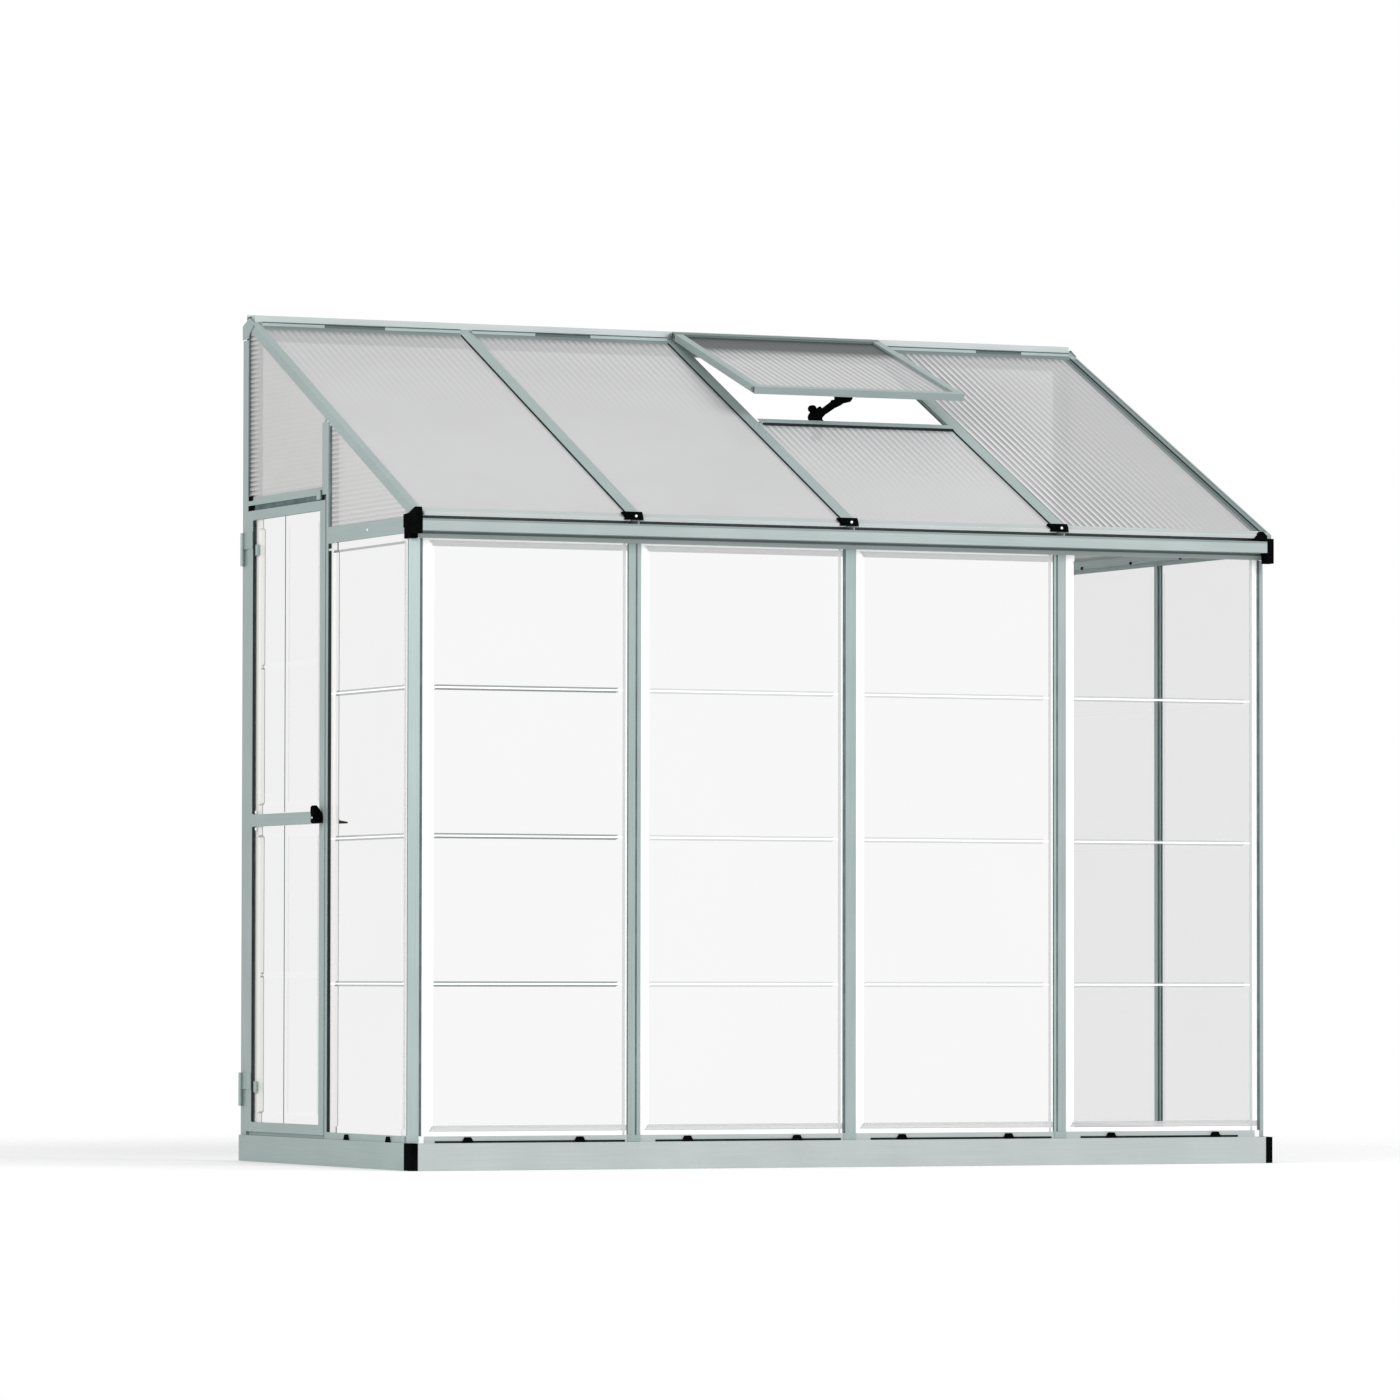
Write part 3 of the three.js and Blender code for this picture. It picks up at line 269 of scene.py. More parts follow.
def plastic(name, color, roughness, gloss=0.03, grain=900, strength=0.18):
    """Moulded plastic with a fine grain and slightly worn, paler patches."""
    material, tree, shader = new_material(name)
    vector = object_coordinates(tree)
    grains = noise(tree, vector, grain, 2)
    patches = noise(tree, vector, 22, 4)
    worn = tuple(c * 1.8 + 0.001 for c in color)
    tree.links.new(ramp(tree, patches, [(0.35, color), (0.8, worn)]), shader.inputs["Base Color"])
    rough = scaled(tree, grains, 0, 1, roughness, roughness + 0.2)
    tree.links.new(rough, shader.inputs["Roughness"])
    shader.inputs["Specular IOR Level"].default_value = gloss
    bump(tree, shader, grains, strength, 0.0003)
    return material


def clear_pane(name, tint, painted_tones):
    """Pressed clear sheet: a faint tint, and a list of tones, mostly painted highlights and painted shade,
    with where each lies and how dense it is.
    """
    material, tree, shader = new_material(name)
    vector, place = split_coordinates(tree)
    _, normal = split_coordinates(tree, "Normal")
    cloud = noise(tree, vector, 3, 3)
    color = ramp(tree, cloud, [(0.3, (0.07, 0.075, 0.075)), (0.7, (0.13, 0.135, 0.13))])
    opacity = tint
    for tone, factor, dense in painted_tones(tree, place, normal):
        color = mix_colors(tree, color, (*tone, 1), factor)
        opacity = most(tree, opacity, times(tree, factor, dense))
    tree.links.new(color, shader.inputs["Base Color"])
    tree.links.new(opacity, shader.inputs["Alpha"])
    shader.inputs["Roughness"].default_value = 0.08
    shader.inputs["Specular IOR Level"].default_value = 0.3
    bump(tree, shader, noise(tree, vector, 9, 2), 0.04, 0.001)
    return material


def steepness(tree, normal):
    """One on the slopes that the press leaves in a standing pane, and nought on its flat parts."""
    return scaled(tree, math_node(tree, "ABSOLUTE", normal["Z"]), 0.15, 0.4, 0, 1)


def rib_slopes(tree, place, normal):
    """The pressed ribs' slopes, away from the pane's upper and lower edges."""
    return times(tree, steepness(tree, normal), band(tree, kit(tree, place, "Z"), 125, 1610))


def rib_crests(tree, place):
    """The ribs' flat tops."""
    height = kit(tree, place, "Z")
    crests = []
    for share in RIB_SHARES:
        middle = EAVES * share
        crests.append(band(tree, height, middle - RIB_CREST / 2, middle + RIB_CREST / 2, 0.3))
    return most(tree, *crests)


def front_painted_light(tree, place, normal):
    """Painted highlights on the edges and the rib crests, a painted grey shade strip inside the edges that
    ends in a mitre at the left, and painted shade on the rib slopes.

    The last bay keeps a clear upper edge, where the side's beam shows through.
    """
    along, height = kit(tree, place, "X"), kit(tree, place, "Z")
    share = math_node(tree, "FRACT", math_node(tree, "DIVIDE", minus(tree, along, BAY_INSET), BAY))
    across = times(tree, share, BAY)
    first_bay_start, other_start, last_bay_end, other_end = 32, 18, 596, 609
    start = scaled(tree, along, 100, 101, first_bay_start, other_start)
    end = scaled(tree, along, LENGTH - 101, LENGTH - 100, other_end, last_bay_end)
    from_left, from_right = minus(tree, across, start), minus(tree, end, across)
    from_top, from_bottom = minus(tree, PANE_HIGH, height), minus(tree, height, PANE_LOW)
    upper_edge = below(tree, along, bay_line(BAYS - 1) + 0.5)

    mitre_top = scaled(tree, minus(tree, from_left, from_top), 0, 10, 0, 1)
    mitre_bottom = above(tree, minus(tree, from_left, from_bottom), 0, 1)
    grey_top = times(tree, band(tree, from_top, WHITE_TOP, WHITE_TOP + GREY_STRIP), mitre_top)
    grey_bottom = times(tree, band(tree, from_bottom, WHITE_BOTTOM, WHITE_BOTTOM + GREY_STRIP), mitre_bottom)
    grey_right = band(tree, from_right, WHITE_RIGHT, WHITE_RIGHT + GREY_RIGHT)
    grey = most(tree, times(tree, grey_top, upper_edge), grey_bottom, grey_right)
    edges = most(
        tree, below(tree, from_left, WHITE_LEFT), times(tree, below(tree, from_top, WHITE_TOP), upper_edge),
        below(tree, from_bottom, WHITE_BOTTOM, 1), below(tree, from_right, WHITE_RIGHT, 1),
    )
    inside_left = above(tree, from_left, WHITE_LEFT + 1)
    field = times(tree, inside_left, above(tree, from_right, WHITE_RIGHT + GREY_RIGHT + 0.5))
    crests = times(tree, rib_crests(tree, place), field)
    ribs = times(tree, rib_slopes(tree, place, normal), field)
    rib_density = scaled(tree, along, bay_line(1), bay_line(1) + 5, 0.75, 0.22)
    return [
        (WHITE, most(tree, edges, crests), 0.85),
        ((0.56, 0.57, 0.57), grey, 0.6),
        (RIB_SLOPE_SHADE, ribs, rib_density),
    ]


def left_painted_light(tree, place, normal):
    """Painted soft shade beside the corner post, a milky edge beside the jamb, painted highlights on the rib
    crests, and painted shade on the rib slopes and in a line under the beam.
    """
    back = kit(tree, place, "Y")
    under_beam = scaled(tree, kit(tree, place, "Z"), 1600, 1610, 0, 1)
    return [
        ((0.66, 0.67, 0.66), below(tree, back, 95), 0.4),
        ((0.74, 0.74, 0.73), above(tree, back, 550), 0.93),
        (WHITE, times(tree, rib_crests(tree, place), above(tree, back, 80.5)), 0.85),
        (RIB_SLOPE_SHADE, rib_slopes(tree, place, normal), 0.5),
        ((0.2, 0.22, 0.22), times(tree, steepness(tree, normal), under_beam), 0.45),
    ]


def right_painted_shade(tree, place, normal):
    # Painted shade on the rib slopes.
    return [(FAINT_RIB_SLOPE_SHADE, rib_slopes(tree, place, normal), 0.12)]


def door_edge_and_shade(tree, place, normal):
    """A milky edge beside the hinge stile, and painted shade on the rib slopes."""
    return [
        ((0.74, 0.74, 0.72), above(tree, kit(tree, place, "Y"), 1102), 0.93),
        (FAINT_RIB_SLOPE_SHADE, rib_slopes(tree, place, normal), 0.1),
    ]


def twin_wall(name, axis, pitch, color, fade, shadow, outward):
    """Twin-wall sheet: a milky body with dark stripes at its inner webs, painted highlight stripes beside
    them, and a painted soft shadow.

    The stripes lie on the outward face alone, and fade says how strong they are at each place.
    """
    material, tree, shader = new_material(name)
    vector, place = split_coordinates(tree)
    _, normal = split_coordinates(tree, "Normal")
    part = math_node(tree, "FRACT", times(tree, place[axis], 1 / (pitch * MM)))
    web = ramp(tree, part, [(0.0, 1.0), (0.1, 0.85), (0.24, 0.0), (0.8, 0.0), (0.93, 0.9), (1.0, 1.0)])
    glint = ramp(tree, part, [(0.22, 0.0), (0.32, 1.0), (0.45, 1.0), (0.6, 0.0)])
    broken = scaled(tree, noise(tree, vector, 6, 3), 0.35, 0.65, 0.7, 1.0)
    on_top = scaled(tree, outward(tree, place, normal), 0.2, 0.4, 0, 1)
    strength = times(tree, times(tree, fade(tree, place), broken), on_top)
    clouds = noise(tree, vector, 1.7, 4)
    tone = ramp(tree, clouds, [(0.35, tuple(0.94 * c for c in color)), (0.65, color)])
    # Painted highlight stripes beside the webs, from a lighter copy of the sheet's colour.
    painted_highlight = tuple(1.35 * c for c in color)
    dark = tuple(c * d for c, d in zip(color, (0.1, 0.12, 0.12)))
    lit = mix_colors(tree, tone, (*painted_highlight, 1), times(tree, glint, strength))
    striped = mix_colors(tree, lit, (*dark, 1), times(tree, web, strength))
    shadow_share = shadow(tree, place)
    shaded = mix_colors(tree, striped, (0.02, 0.028, 0.028, 1), shadow_share)
    tree.links.new(shaded, shader.inputs["Base Color"])
    stripes = times(tree, most(tree, web, glint), strength)
    dense = times(tree, most(tree, stripes, shadow_share), 0.3)
    tree.links.new(math_node(tree, "ADD", TWIN_OPACITY, dense), shader.inputs["Alpha"])
    shader.inputs["Roughness"].default_value = 0.34
    shader.inputs["Specular IOR Level"].default_value = 0.3
    bump(tree, shader, glint, 0.12, 0.0006)
    return material


def upward(tree, place, normal):
    return normal["Z"]


def sideways(tree, place, normal):
    return times(tree, place["X"], normal["X"])


def roof_fade(tree, place):
    """Strong by the ridge, under the vent's sill and at the left of the last bay, and faint elsewhere."""
    back, along = kit(tree, place, "Y"), kit(tree, place, "X")
    by_ridge = scaled(tree, back, 640, 1150, 0.0, 0.3)
    edge = scaled(tree, back, 1105, 1165, 0.0, 0.45)
    right_part = scaled(tree, along, bay_line(1), bay_line(2), 0.6, 1.0)
    near = times(tree, math_node(tree, "ADD", by_ridge, edge), right_part)
    in_vent_bay = band(tree, along, bay_line(VENT_BAY - 1), bay_line(VENT_BAY))
    under_vent = times(tree, scaled(tree, back, 250, 620, 0.03, 0.5), in_vent_bay)
    last_bay = scaled(tree, along, bay_line(3) + 120, bay_line(4) - 150, 0.85, 0.04)
    last = times(tree, last_bay, above(tree, along, bay_line(3) - 0.5))
    return most(tree, near, under_vent, last)


def roof_shadow(tree, place):
    """The soft shade under the ridge's trim."""
    return scaled(tree, kit(tree, place, "Y"), 1122, 1164, 0.0, 0.45)


def vent_fade(tree, place):
    return scaled(tree, kit(tree, place, "Y"), 620, 1150, 0.45, 0.65)


def vent_shadow(tree, place):
    """The dark shade of the ridge's nose over the vent's upper end."""
    return scaled(tree, kit(tree, place, "Y"), 985, 1045, 0.0, 0.95)


def gable_fade(tree, place):
    """Strong along the posts and faint in the middle of each panel."""
    back = kit(tree, place, "Y")
    rear = scaled(tree, back, 1120, 1190, 0.0, 0.85)
    by_jamb = scaled(tree, back, 600, 500, 0.6, 0.0)
    before_jamb = scaled(tree, back, 620, 610, 0, 1)
    low = scaled(tree, kit(tree, place, "Z"), 1700, 1860, 0.22, 0.03)
    return most(tree, rear, low, times(tree, by_jamb, before_jamb))


def gable_shadow(tree, place):
    """The shade beside the wall post."""
    return scaled(tree, kit(tree, place, "Y"), 1160, 1195, 0.0, 0.35)


def gutter_painted_shade(tree, place):
    """Painted shade: the gutter's darker rolled rim, and the dark shadow line where its lips begin under it.
    """
    height = kit(tree, place, "Z")
    rim = times(tree, scaled(tree, height, 1689, 1690, 0, 1), 0.4)
    lip = times(tree, band(tree, height, 1657, 1663.5, 0.3), 0.75)
    return most(tree, rim, lip)


ALONG_X = (0.01, 1, 1)
ALONG_Y = (1, 0.01, 1)
ALONG_Z = (1, 1, 0.01)
METAL_DARK = (0.275, 0.345, 0.335)
METAL_LIGHT = (0.345, 0.42, 0.41)
metals = {
    "x": metal("aluminium_along", METAL_DARK, METAL_LIGHT, ALONG_X),
    "y": metal("aluminium_back", METAL_DARK, METAL_LIGHT, ALONG_Y),
    "z": metal("aluminium_up", METAL_DARK, METAL_LIGHT, ALONG_Z),
}
# A lighter copy of the aluminium for the faces that catch the lamps: painted light.
painted_lit_metal = metal("aluminium_painted_lit", (0.40, 0.44, 0.435), (0.47, 0.51, 0.51), ALONG_X)
# The gutter's copy is a little lighter for its lit face, which is painted light, with painted shade on its
# rim and lip line.
gutter_painted_light_metal = metal(
    "aluminium_gutter_painted_light", (0.31, 0.37, 0.365), (0.39, 0.45, 0.445), ALONG_X, shade=gutter_painted_shade,
)
# Darker copies of the aluminium: painted shade for faces in shadow, and deeper painted shade for slots and
# recesses.
painted_shade_metal = metal("aluminium_painted_shade", (0.15, 0.19, 0.185), (0.21, 0.26, 0.25), ALONG_X, 0.6)
deep_shade_metal = metal("aluminium_painted_deep_shade", (0.075, 0.10, 0.10), (0.11, 0.14, 0.14), ALONG_X, 0.6)
steel = metal("screw_steel", (0.72, 0.73, 0.73), (0.86, 0.87, 0.87), (1, 1, 1), 0.25)
black = plastic("black_moulding", (0.0012, 0.0016, 0.0016), 0.75, 0.01)
# Near-black rubber for gaskets, also laid as painted shadow in gaps and along the vent's sill.
gasket_black_and_shadow = plastic("gasket_dark_and_painted_shadow", (0.010, 0.016, 0.016), 0.6, 0.05, 1600, 0.1)
# A dark grey-green for thin dark lines: painted shade in gaps, grooves and creases.
shade_line_tone = plastic("painted_shade_lines", (0.075, 0.105, 0.105), 0.6, 0.05, 1600, 0.1)

# Shapes


def mesh_object(name, mesh, material, body, bevel=0.0):
    """Puts a finished bmesh in the scene as a piece that rides on a body."""
    bmesh.ops.recalc_face_normals(mesh, faces=mesh.faces)
    if bevel:
        sharp = [edge for edge in mesh.edges if edge.calc_face_angle(0) > 0.5]
        bmesh.ops.bevel(
            mesh, geom=sharp, offset=bevel * MM, segments=2, profile=0.6, affect="EDGES", clamp_overlap=True,
        )
    data = bpy.data.meshes.new(name)
    mesh.to_mesh(data)
    mesh.free()
    made = bpy.data.objects.new(name, data)
    bpy.context.scene.collection.objects.link(made)
    data.materials.append(material)
    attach(made, body)
    return made


def extruded(points_low, points_high):
    """A closed body between two matching outlines."""
    mesh = bmesh.new()
    low = [mesh.verts.new(p) for p in points_low]
    high = [mesh.verts.new(p) for p in points_high]
    mesh.faces.new(low)
    mesh.faces.new(list(reversed(high)))
    for i in range(len(low)):
        j = (i + 1) % len(low)
        mesh.faces.new([low[j], low[i], high[i], high[j]])
    return mesh


def lengthwise(section, x0, x1):
    """A section in [y, z], running along the front."""
    return extruded([at(x0, y, z) for y, z in section], [at(x1, y, z) for y, z in section])


def crosswise(section, y0, y1):
    """A section in [x, z], running from the front to the wall."""
    return extruded([at(x, y0, z) for x, z in section], [at(x, y1, z) for x, z in section])


def upright(section, z0, z1):
    """A section in [x, y], standing up."""
    return extruded([at(x, y, z0) for x, y in section], [at(x, y, z1) for x, y in section])


def up_slope(section, y0, y1):
    """A section in [x, height over the roof's plane], running up the slope."""
    return extruded(
        [at(x, y0, roof_top(y0) + h) for x, h in section], [at(x, y1, roof_top(y1) + h) for x, h in section],
    )


def rectangle(a0, b0, a1, b1):
    return [(a0, b0), (a1, b0), (a1, b1), (a0, b1)]


def circle(a, b, radius, sides=16):
    turns = [2 * math.pi * i / sides for i in range(sides)]
    return [(a + radius * math.cos(turn), b + radius * math.sin(turn)) for turn in turns]


def screw(name, place, direction, radius, height, body, material=None):
    """A domed screw head with a dished middle, on a point and facing along a direction."""
    mesh = bmesh.new()
    rings = [(1.0, 0.0), (1.0, 0.35), (0.86, 0.75), (0.5, 1.0)]
    sides = 20
    loops = []
    for share, rise in rings:
        ring = circle(0, 0, radius * share * MM, sides)
        loops.append([mesh.verts.new((a, b, rise * height * MM)) for a, b in ring])
    for lower, upper in zip(loops, loops[1:]):
        for i in range(sides):
            j = (i + 1) % sides
            mesh.faces.new([lower[i], lower[j], upper[j], upper[i]])
    mesh.faces.new(list(reversed(loops[0])))
    middle = mesh.verts.new((0, 0, 0.45 * height * MM))
    rim = loops[-1]
    for i in range(sides):
        mesh.faces.new([rim[i], rim[(i + 1) % sides], middle])
    turn = Vector(direction).to_track_quat("Z", "Y").to_matrix().to_4x4()
    bmesh.ops.transform(mesh, matrix=Matrix.Translation(at(*place)) @ turn, verts=mesh.verts)
    return mesh_object(name, mesh, material or steel, body)


# Looks of the frame's own pieces


def pane_materials():
    """Each clear pane's material, by its wall."""
    made = {}
    walls = {
        "front": ([f"front_panel_{k}" for k in range(1, BAYS + 1)], 0.04, front_painted_light),
        "left": (["side_panel_left"], 0.075, left_painted_light),
        "right": (["side_panel_right_front", "side_panel_right_rear"], 0.09, right_painted_shade),
        "door": (["door_panel_lower", "door_panel_upper"], 0.08, door_edge_and_shade),
    }
    for wall, (names, tint, painted_tones) in walls.items():
        material = clear_pane(f"clear_pane_{wall}", tint, painted_tones)
        made.update({name: material for name in names})
    return made


def bar_direction(name):
    low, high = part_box(name)
    size = high - low
    return "xyz"[max(range(3), key=lambda i: size[i])]


def dress_frame():
    panes = pane_materials()
    roof_color, gable_color = (0.50, 0.50, 0.505), (0.53, 0.53, 0.525)
    flutes = {
        "roof": twin_wall("twin_wall_roof", "X", ROOF_PITCH, roof_color, roof_fade, roof_shadow, upward),
        "vent": twin_wall("twin_wall_vent", "X", ROOF_PITCH, roof_color, vent_fade, vent_shadow, upward),
        "gable": twin_wall(
            "twin_wall_gable", "Z", GABLE_PITCH, gable_color, gable_fade, gable_shadow, sideways,
        ),
    }
    for part in frame["record"]["subparts"]:
        name = part["node"]
        piece = frame["nodes"][name]
        slot = part["material_slot"]
        if name in panes:
            material = panes[name]
        elif slot == "twin_pane":
            material = flutes[name.split("_")[0]]
        elif slot == "black_plastic":
            material = black
        # The base's front and the ridge bar take the lighter, painted-light copy.
        elif name in ("base_front", "ridge_bar"):
            material = painted_lit_metal
        elif name == "eaves_gutter":
            material = gutter_painted_light_metal
        # The vent's hinge rail lies in the ridge's shadow and takes the painted shade copy.
        elif name == "vent_hinge_rail":
            material = painted_shade_metal
        else:
            material = metals[bar_direction(name)]
        piece.data.materials.clear()
        piece.data.materials.append(material)
        if slot in ("aluminium", "black_plastic"):
            soften(piece, 0.8 if slot == "black_plastic" else 0.35)


def soften(piece, width):
    edge = piece.modifiers.new("edge", "BEVEL")
    edge.width = width * MM
    edge.segments = 2
    edge.limit_method = "ANGLE"
    edge.angle_limit = math.radians(40)
    edge.use_clamp_overlap = True


# Trim that the solids leave out


def sill_clips():
    """Black wedge clips that hold the panes down in the sill, seen as trapezoids."""
    profile = [(-17, 0), (17, 0), (9, 15), (-9, 15)]

    def clip(name, mesh):
        mesh_object(f"sill_clip_{name}", mesh, black, "root", 0.8)

    for k in range(BAYS):
        for i, share in enumerate((0.245, 0.752)):
            x = bay_line(k) + share * BAY
            clip(f"front_{k + 1}_{i + 1}", crosswise([(x + a, SILL + h) for a, h in profile], 12, 17.7))
    sides = {
        "left": (1.5, 5.7, (168, 463)),
        "right": (LENGTH - 5.7, LENGTH - 1.5, (200, 480, 800, 1090)),
    }
    for side, (x0, x1, places) in sides.items():
        for i, y in enumerate(places):
            clip(f"{side}_{i + 1}", lengthwise([(y + a, SILL + h) for a, h in profile], x0, x1))


def bay_span(k):
    """The room along the front between the covers of the rafters beside a bay, counted from nought."""
    start = bay_line(k) + CAP_RIGHT + FIT if k else END_CAP + 0.5
    end = bay_line(k + 1) - CAP_LEFT - FIT if k < BAYS - 1 else LENGTH - END_CAP - 0.5
    return start, end


def eaves_trim():
    """The channel that closes the lower edge of each roof panel, between the rafters."""
    front, rear, lip, foot = -10.5, 15, 1.8, 1703.5
    top, panel = -0.4, -2.1
    section = [
        (front, foot), (front + lip, foot), (front + lip, roof_top(front + lip) + panel),
        (rear, roof_top(rear) + panel), (rear, roof_top(rear) + top), (front, roof_top(front) + top),
    ]
    for k in range(BAYS):
        mesh = lengthwise(section, *bay_span(k))
        mesh_object(f"eaves_trim_{k + 1}", mesh, painted_lit_metal, "root", 0.3)


def ridge_trim():
    """The strip under the ridge's nose with painted shade in its slots, a painted shadow line above it and a
    painted shadow bead below it, and a painted shade cover with two dark lines over the vent's hinge.
    """
    shadow_slots = {1: (212, 391), 2: (842, 1009), 4: (2210, 2354)}
    under, lift, rear = 2297.9, -2, 1189.5
    for k, (s0, s1) in shadow_slots.items():
        x0, x1 = bay_span(k - 1)
        for part, a, b, front in (("a", x0, s0, 1166), ("slot", s0, s1, 1168), ("b", s1, x1, 1166)):
            upper = [(front, roof_top(front) + lift), (rear, roof_top(rear) + lift)]
            section = [*upper, (rear, under), (front, under)]
            # The slots are painted shade; the rest of the strip is plain aluminium.
            look = deep_shade_metal if part == "slot" else metals["x"]
            mesh_object(f"ridge_trim_{k}_{part}", lengthwise(section, a, b), look, "root", 0.3)
        # A painted shadow line where the strip meets the ridge's nose.
        shadow_line_section = rectangle(1164.6, under - 2.6, 1165.9, under)
        mesh_object(f"ridge_shadow_line_{k}", lengthwise(shadow_line_section, x0, x1), shade_line_tone, "root")
        # A painted shadow bead on the panel under the strip.
        bead = [
            (1148, roof_top(1148) - 2.2), (1165.9, roof_top(1165.9) - 2.2), (1165.9, roof_top(1165.9) + 0.6),
            (1150, roof_top(1150) - 0.9),
        ]
        mesh = lengthwise(bead, x0, x1)
        mesh_object(f"ridge_shadow_bead_{k}", mesh, painted_shade_metal, "root", 0.2)
    # Painted shade over the vent's hinge, where the ridge's face lies in shadow, with two dark lines on it.
    x0, x1 = bay_line(VENT_BAY - 1) + CAP_RIGHT, bay_line(VENT_BAY) - CAP_LEFT
    cover = rectangle(1188.6, 2299.4, 1189.7, 2312)
    mesh_object("vent_hinge_shade", lengthwise(cover, x0, x1), painted_shade_metal, "root", 0.2)
    for i, z in enumerate((2302.5, 2308)):
        line = rectangle(1188.0, z, 1188.7, z + 1.3)
        mesh_object(f"vent_hinge_line_{i + 1}", lengthwise(line, x0, x1), gasket_black_and_shadow, "root")


def ridge_brackets():
    """The cheek plate on each end of the ridge."""
    outline = [(1249.5, 2252), (1249.5, 2290), (1200, 2309), (1164, 2288), (1195, 2268), (1208, 2252)]
    for side in ("left", "right"):
        x0, x1 = (3.2, 5.7) if side == "left" else (LENGTH - 5.7, LENGTH - 3.2)
        mesh_object(f"ridge_cheek_{side}", lengthwise(outline, x0, x1), metals["z"], "root", 0.4)


def rafter_gaskets_and_shade():
    """Rubber beads along the rafters' left edges, and painted shade in a channel beside the last rafter and
    in a band and a line on its cover.
    """
    bead = [(0, -2.2), (5.0, -2.2), (4.2, -0.5), (0, -0.2)]
    for k in range(1, BAYS + 1):
        edge = bay_line(k) - CAP_LEFT if k < BAYS else LENGTH - END_CAP
        section = [(edge - 0.1 - a, h) for a, h in bead]
        y1 = 630 if k == VENT_BAY else 1163
        mesh_object(f"rafter_gasket_{k + 1}", up_slope(section, 16, y1), gasket_black_and_shadow, "root")
    # Painted shade: a channel beside the last rafter, and a band and a line on its cover.
    edge = LENGTH - END_CAP
    for name, x0, x1, h0, h1, look in (
        ("rafter_channel_inner", edge - 27, edge - 19, -2.2, -1.2, painted_shade_metal),
        ("rafter_channel_outer", edge - 19, edge - 5.2, -2.2, -1.2, deep_shade_metal),
        ("rafter_cover_shade", edge - 0.5, edge + 12, 0.05, 0.6, painted_shade_metal),
        ("rafter_cover_shadow_line", edge + 12, edge + 16, 0.05, 0.6, shade_line_tone),
    ):
        mesh_object(name, up_slope(rectangle(x0, h0, x1, h1), 8, 1148), look, "root")


def wall_shade_strips():
    """Painted shade strips in the gaps beside the posts and the mullions and in a groove on each mullion, and
    dark beads beside the jamb, the gables and the corners.
    """
    # Painted shade strips in the gaps beside the posts and the mullions.
    strips = {"post_shade_strip_left": (29.4, 36.5), "post_shade_strip_right": (LENGTH - 36.5, LENGTH - 29.4)}
    for k in range(1, BAYS):
        strips[f"mullion_bead_{k}"] = (bay_line(k) - 20.2, bay_line(k) - 18.2)
    for name, (x0, x1) in strips.items():
        mesh = upright(rectangle(x0, 18.7, x1, 20.1), PANE_LOW, PANE_HIGH)
        mesh_object(name, mesh, shade_line_tone, "root", 0.2)
    side, edge = (6.2, 8.1), (4.6, 5.8)
    right_side = (LENGTH - 8.1, LENGTH - 6.2)
    for name, (x0, x1), y0, y1, z0, z1, look in (
        ("jamb_bead", side, 592, 609, PANE_LOW, 1640, gasket_black_and_shadow),
        ("jamb_bead_top", side, 592, 609, 1646, 1659, gasket_black_and_shadow),
        ("gable_bead_front", side, 592, 604, 1705, roof_top(592) - 34, shade_line_tone),
        ("gable_bead_rear", edge, 1198, 1205, 1822, roof_top(1198) - 34, shade_line_tone),
        ("corner_bead_left", side, 41.6, 46, PANE_LOW, 1659, shade_line_tone),
        ("corner_bead_right", right_side, 41.6, 46, PANE_LOW, 1659, shade_line_tone),
    ):
        mesh_object(name, upright(rectangle(x0, y0, x1, y1), z0, z1), look, "root", 0.2)
    # Painted shade in a groove on each mullion.
    mullion_width = 36
    for k, share in {1: 0.14, 2: -0.42, 3: -0.24}.items():
        x = bay_line(k) + share * mullion_width
        strip = rectangle(max(x - 2.3, bay_line(k) - 17.5), 18.3, x + 2.3, 18.9)
        mesh = upright(strip, PANE_LOW, PANE_HIGH)
        mesh_object(f"mullion_groove_shade_{k}", mesh, shade_line_tone, "root")


def sill_trim():
    """The mullions' feet over the sill, and painted shade in the gap along its foot in each bay."""
    for k in range(1, BAYS):
        foot = rectangle(bay_line(k) - 18, 16.2, bay_line(k) + 18, 17.7)
        mesh = upright(foot, SILL + 0.2, 89)
        mesh_object(f"mullion_foot_{k}", mesh, metals["z"], "root", 0.3)
    for k in range(BAYS):
        # Painted shade in the gap along the sill's foot.
        gap = rectangle(17.0, SILL + 0.1, 17.7, 76.8)
        x1 = bay_line(k + 1) - (26 if k < BAYS - 1 else 85)
        mesh = lengthwise(gap, bay_line(k) + 62, x1)
        mesh_object(f"sill_gap_shade_{k + 1}", mesh, gasket_black_and_shadow, "root")


def right_cap():
    """The right end cap: a block that hangs a little below the gutter, and a wedge over its left."""
    block = [(-17, 1635), (16, 1635), (16, 1656), (60, 1656), (60, 1722), (16, 1712), (16, 1703), (-17, 1703)]
    mesh = lengthwise(block, LENGTH - 24, LENGTH - 2.5)
    piece = mesh_object("right_cap_block", mesh, black, "root", 1.0)
    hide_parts("gutter_cap_right")
    wedge = [(2470, 1699), (2492, 1722), (2500, 1722), (2512, 1711), (2512, 1699)]
    mesh_object("right_cap_wedge", crosswise(wedge, -16.9, -2), black, "root", 0.8)


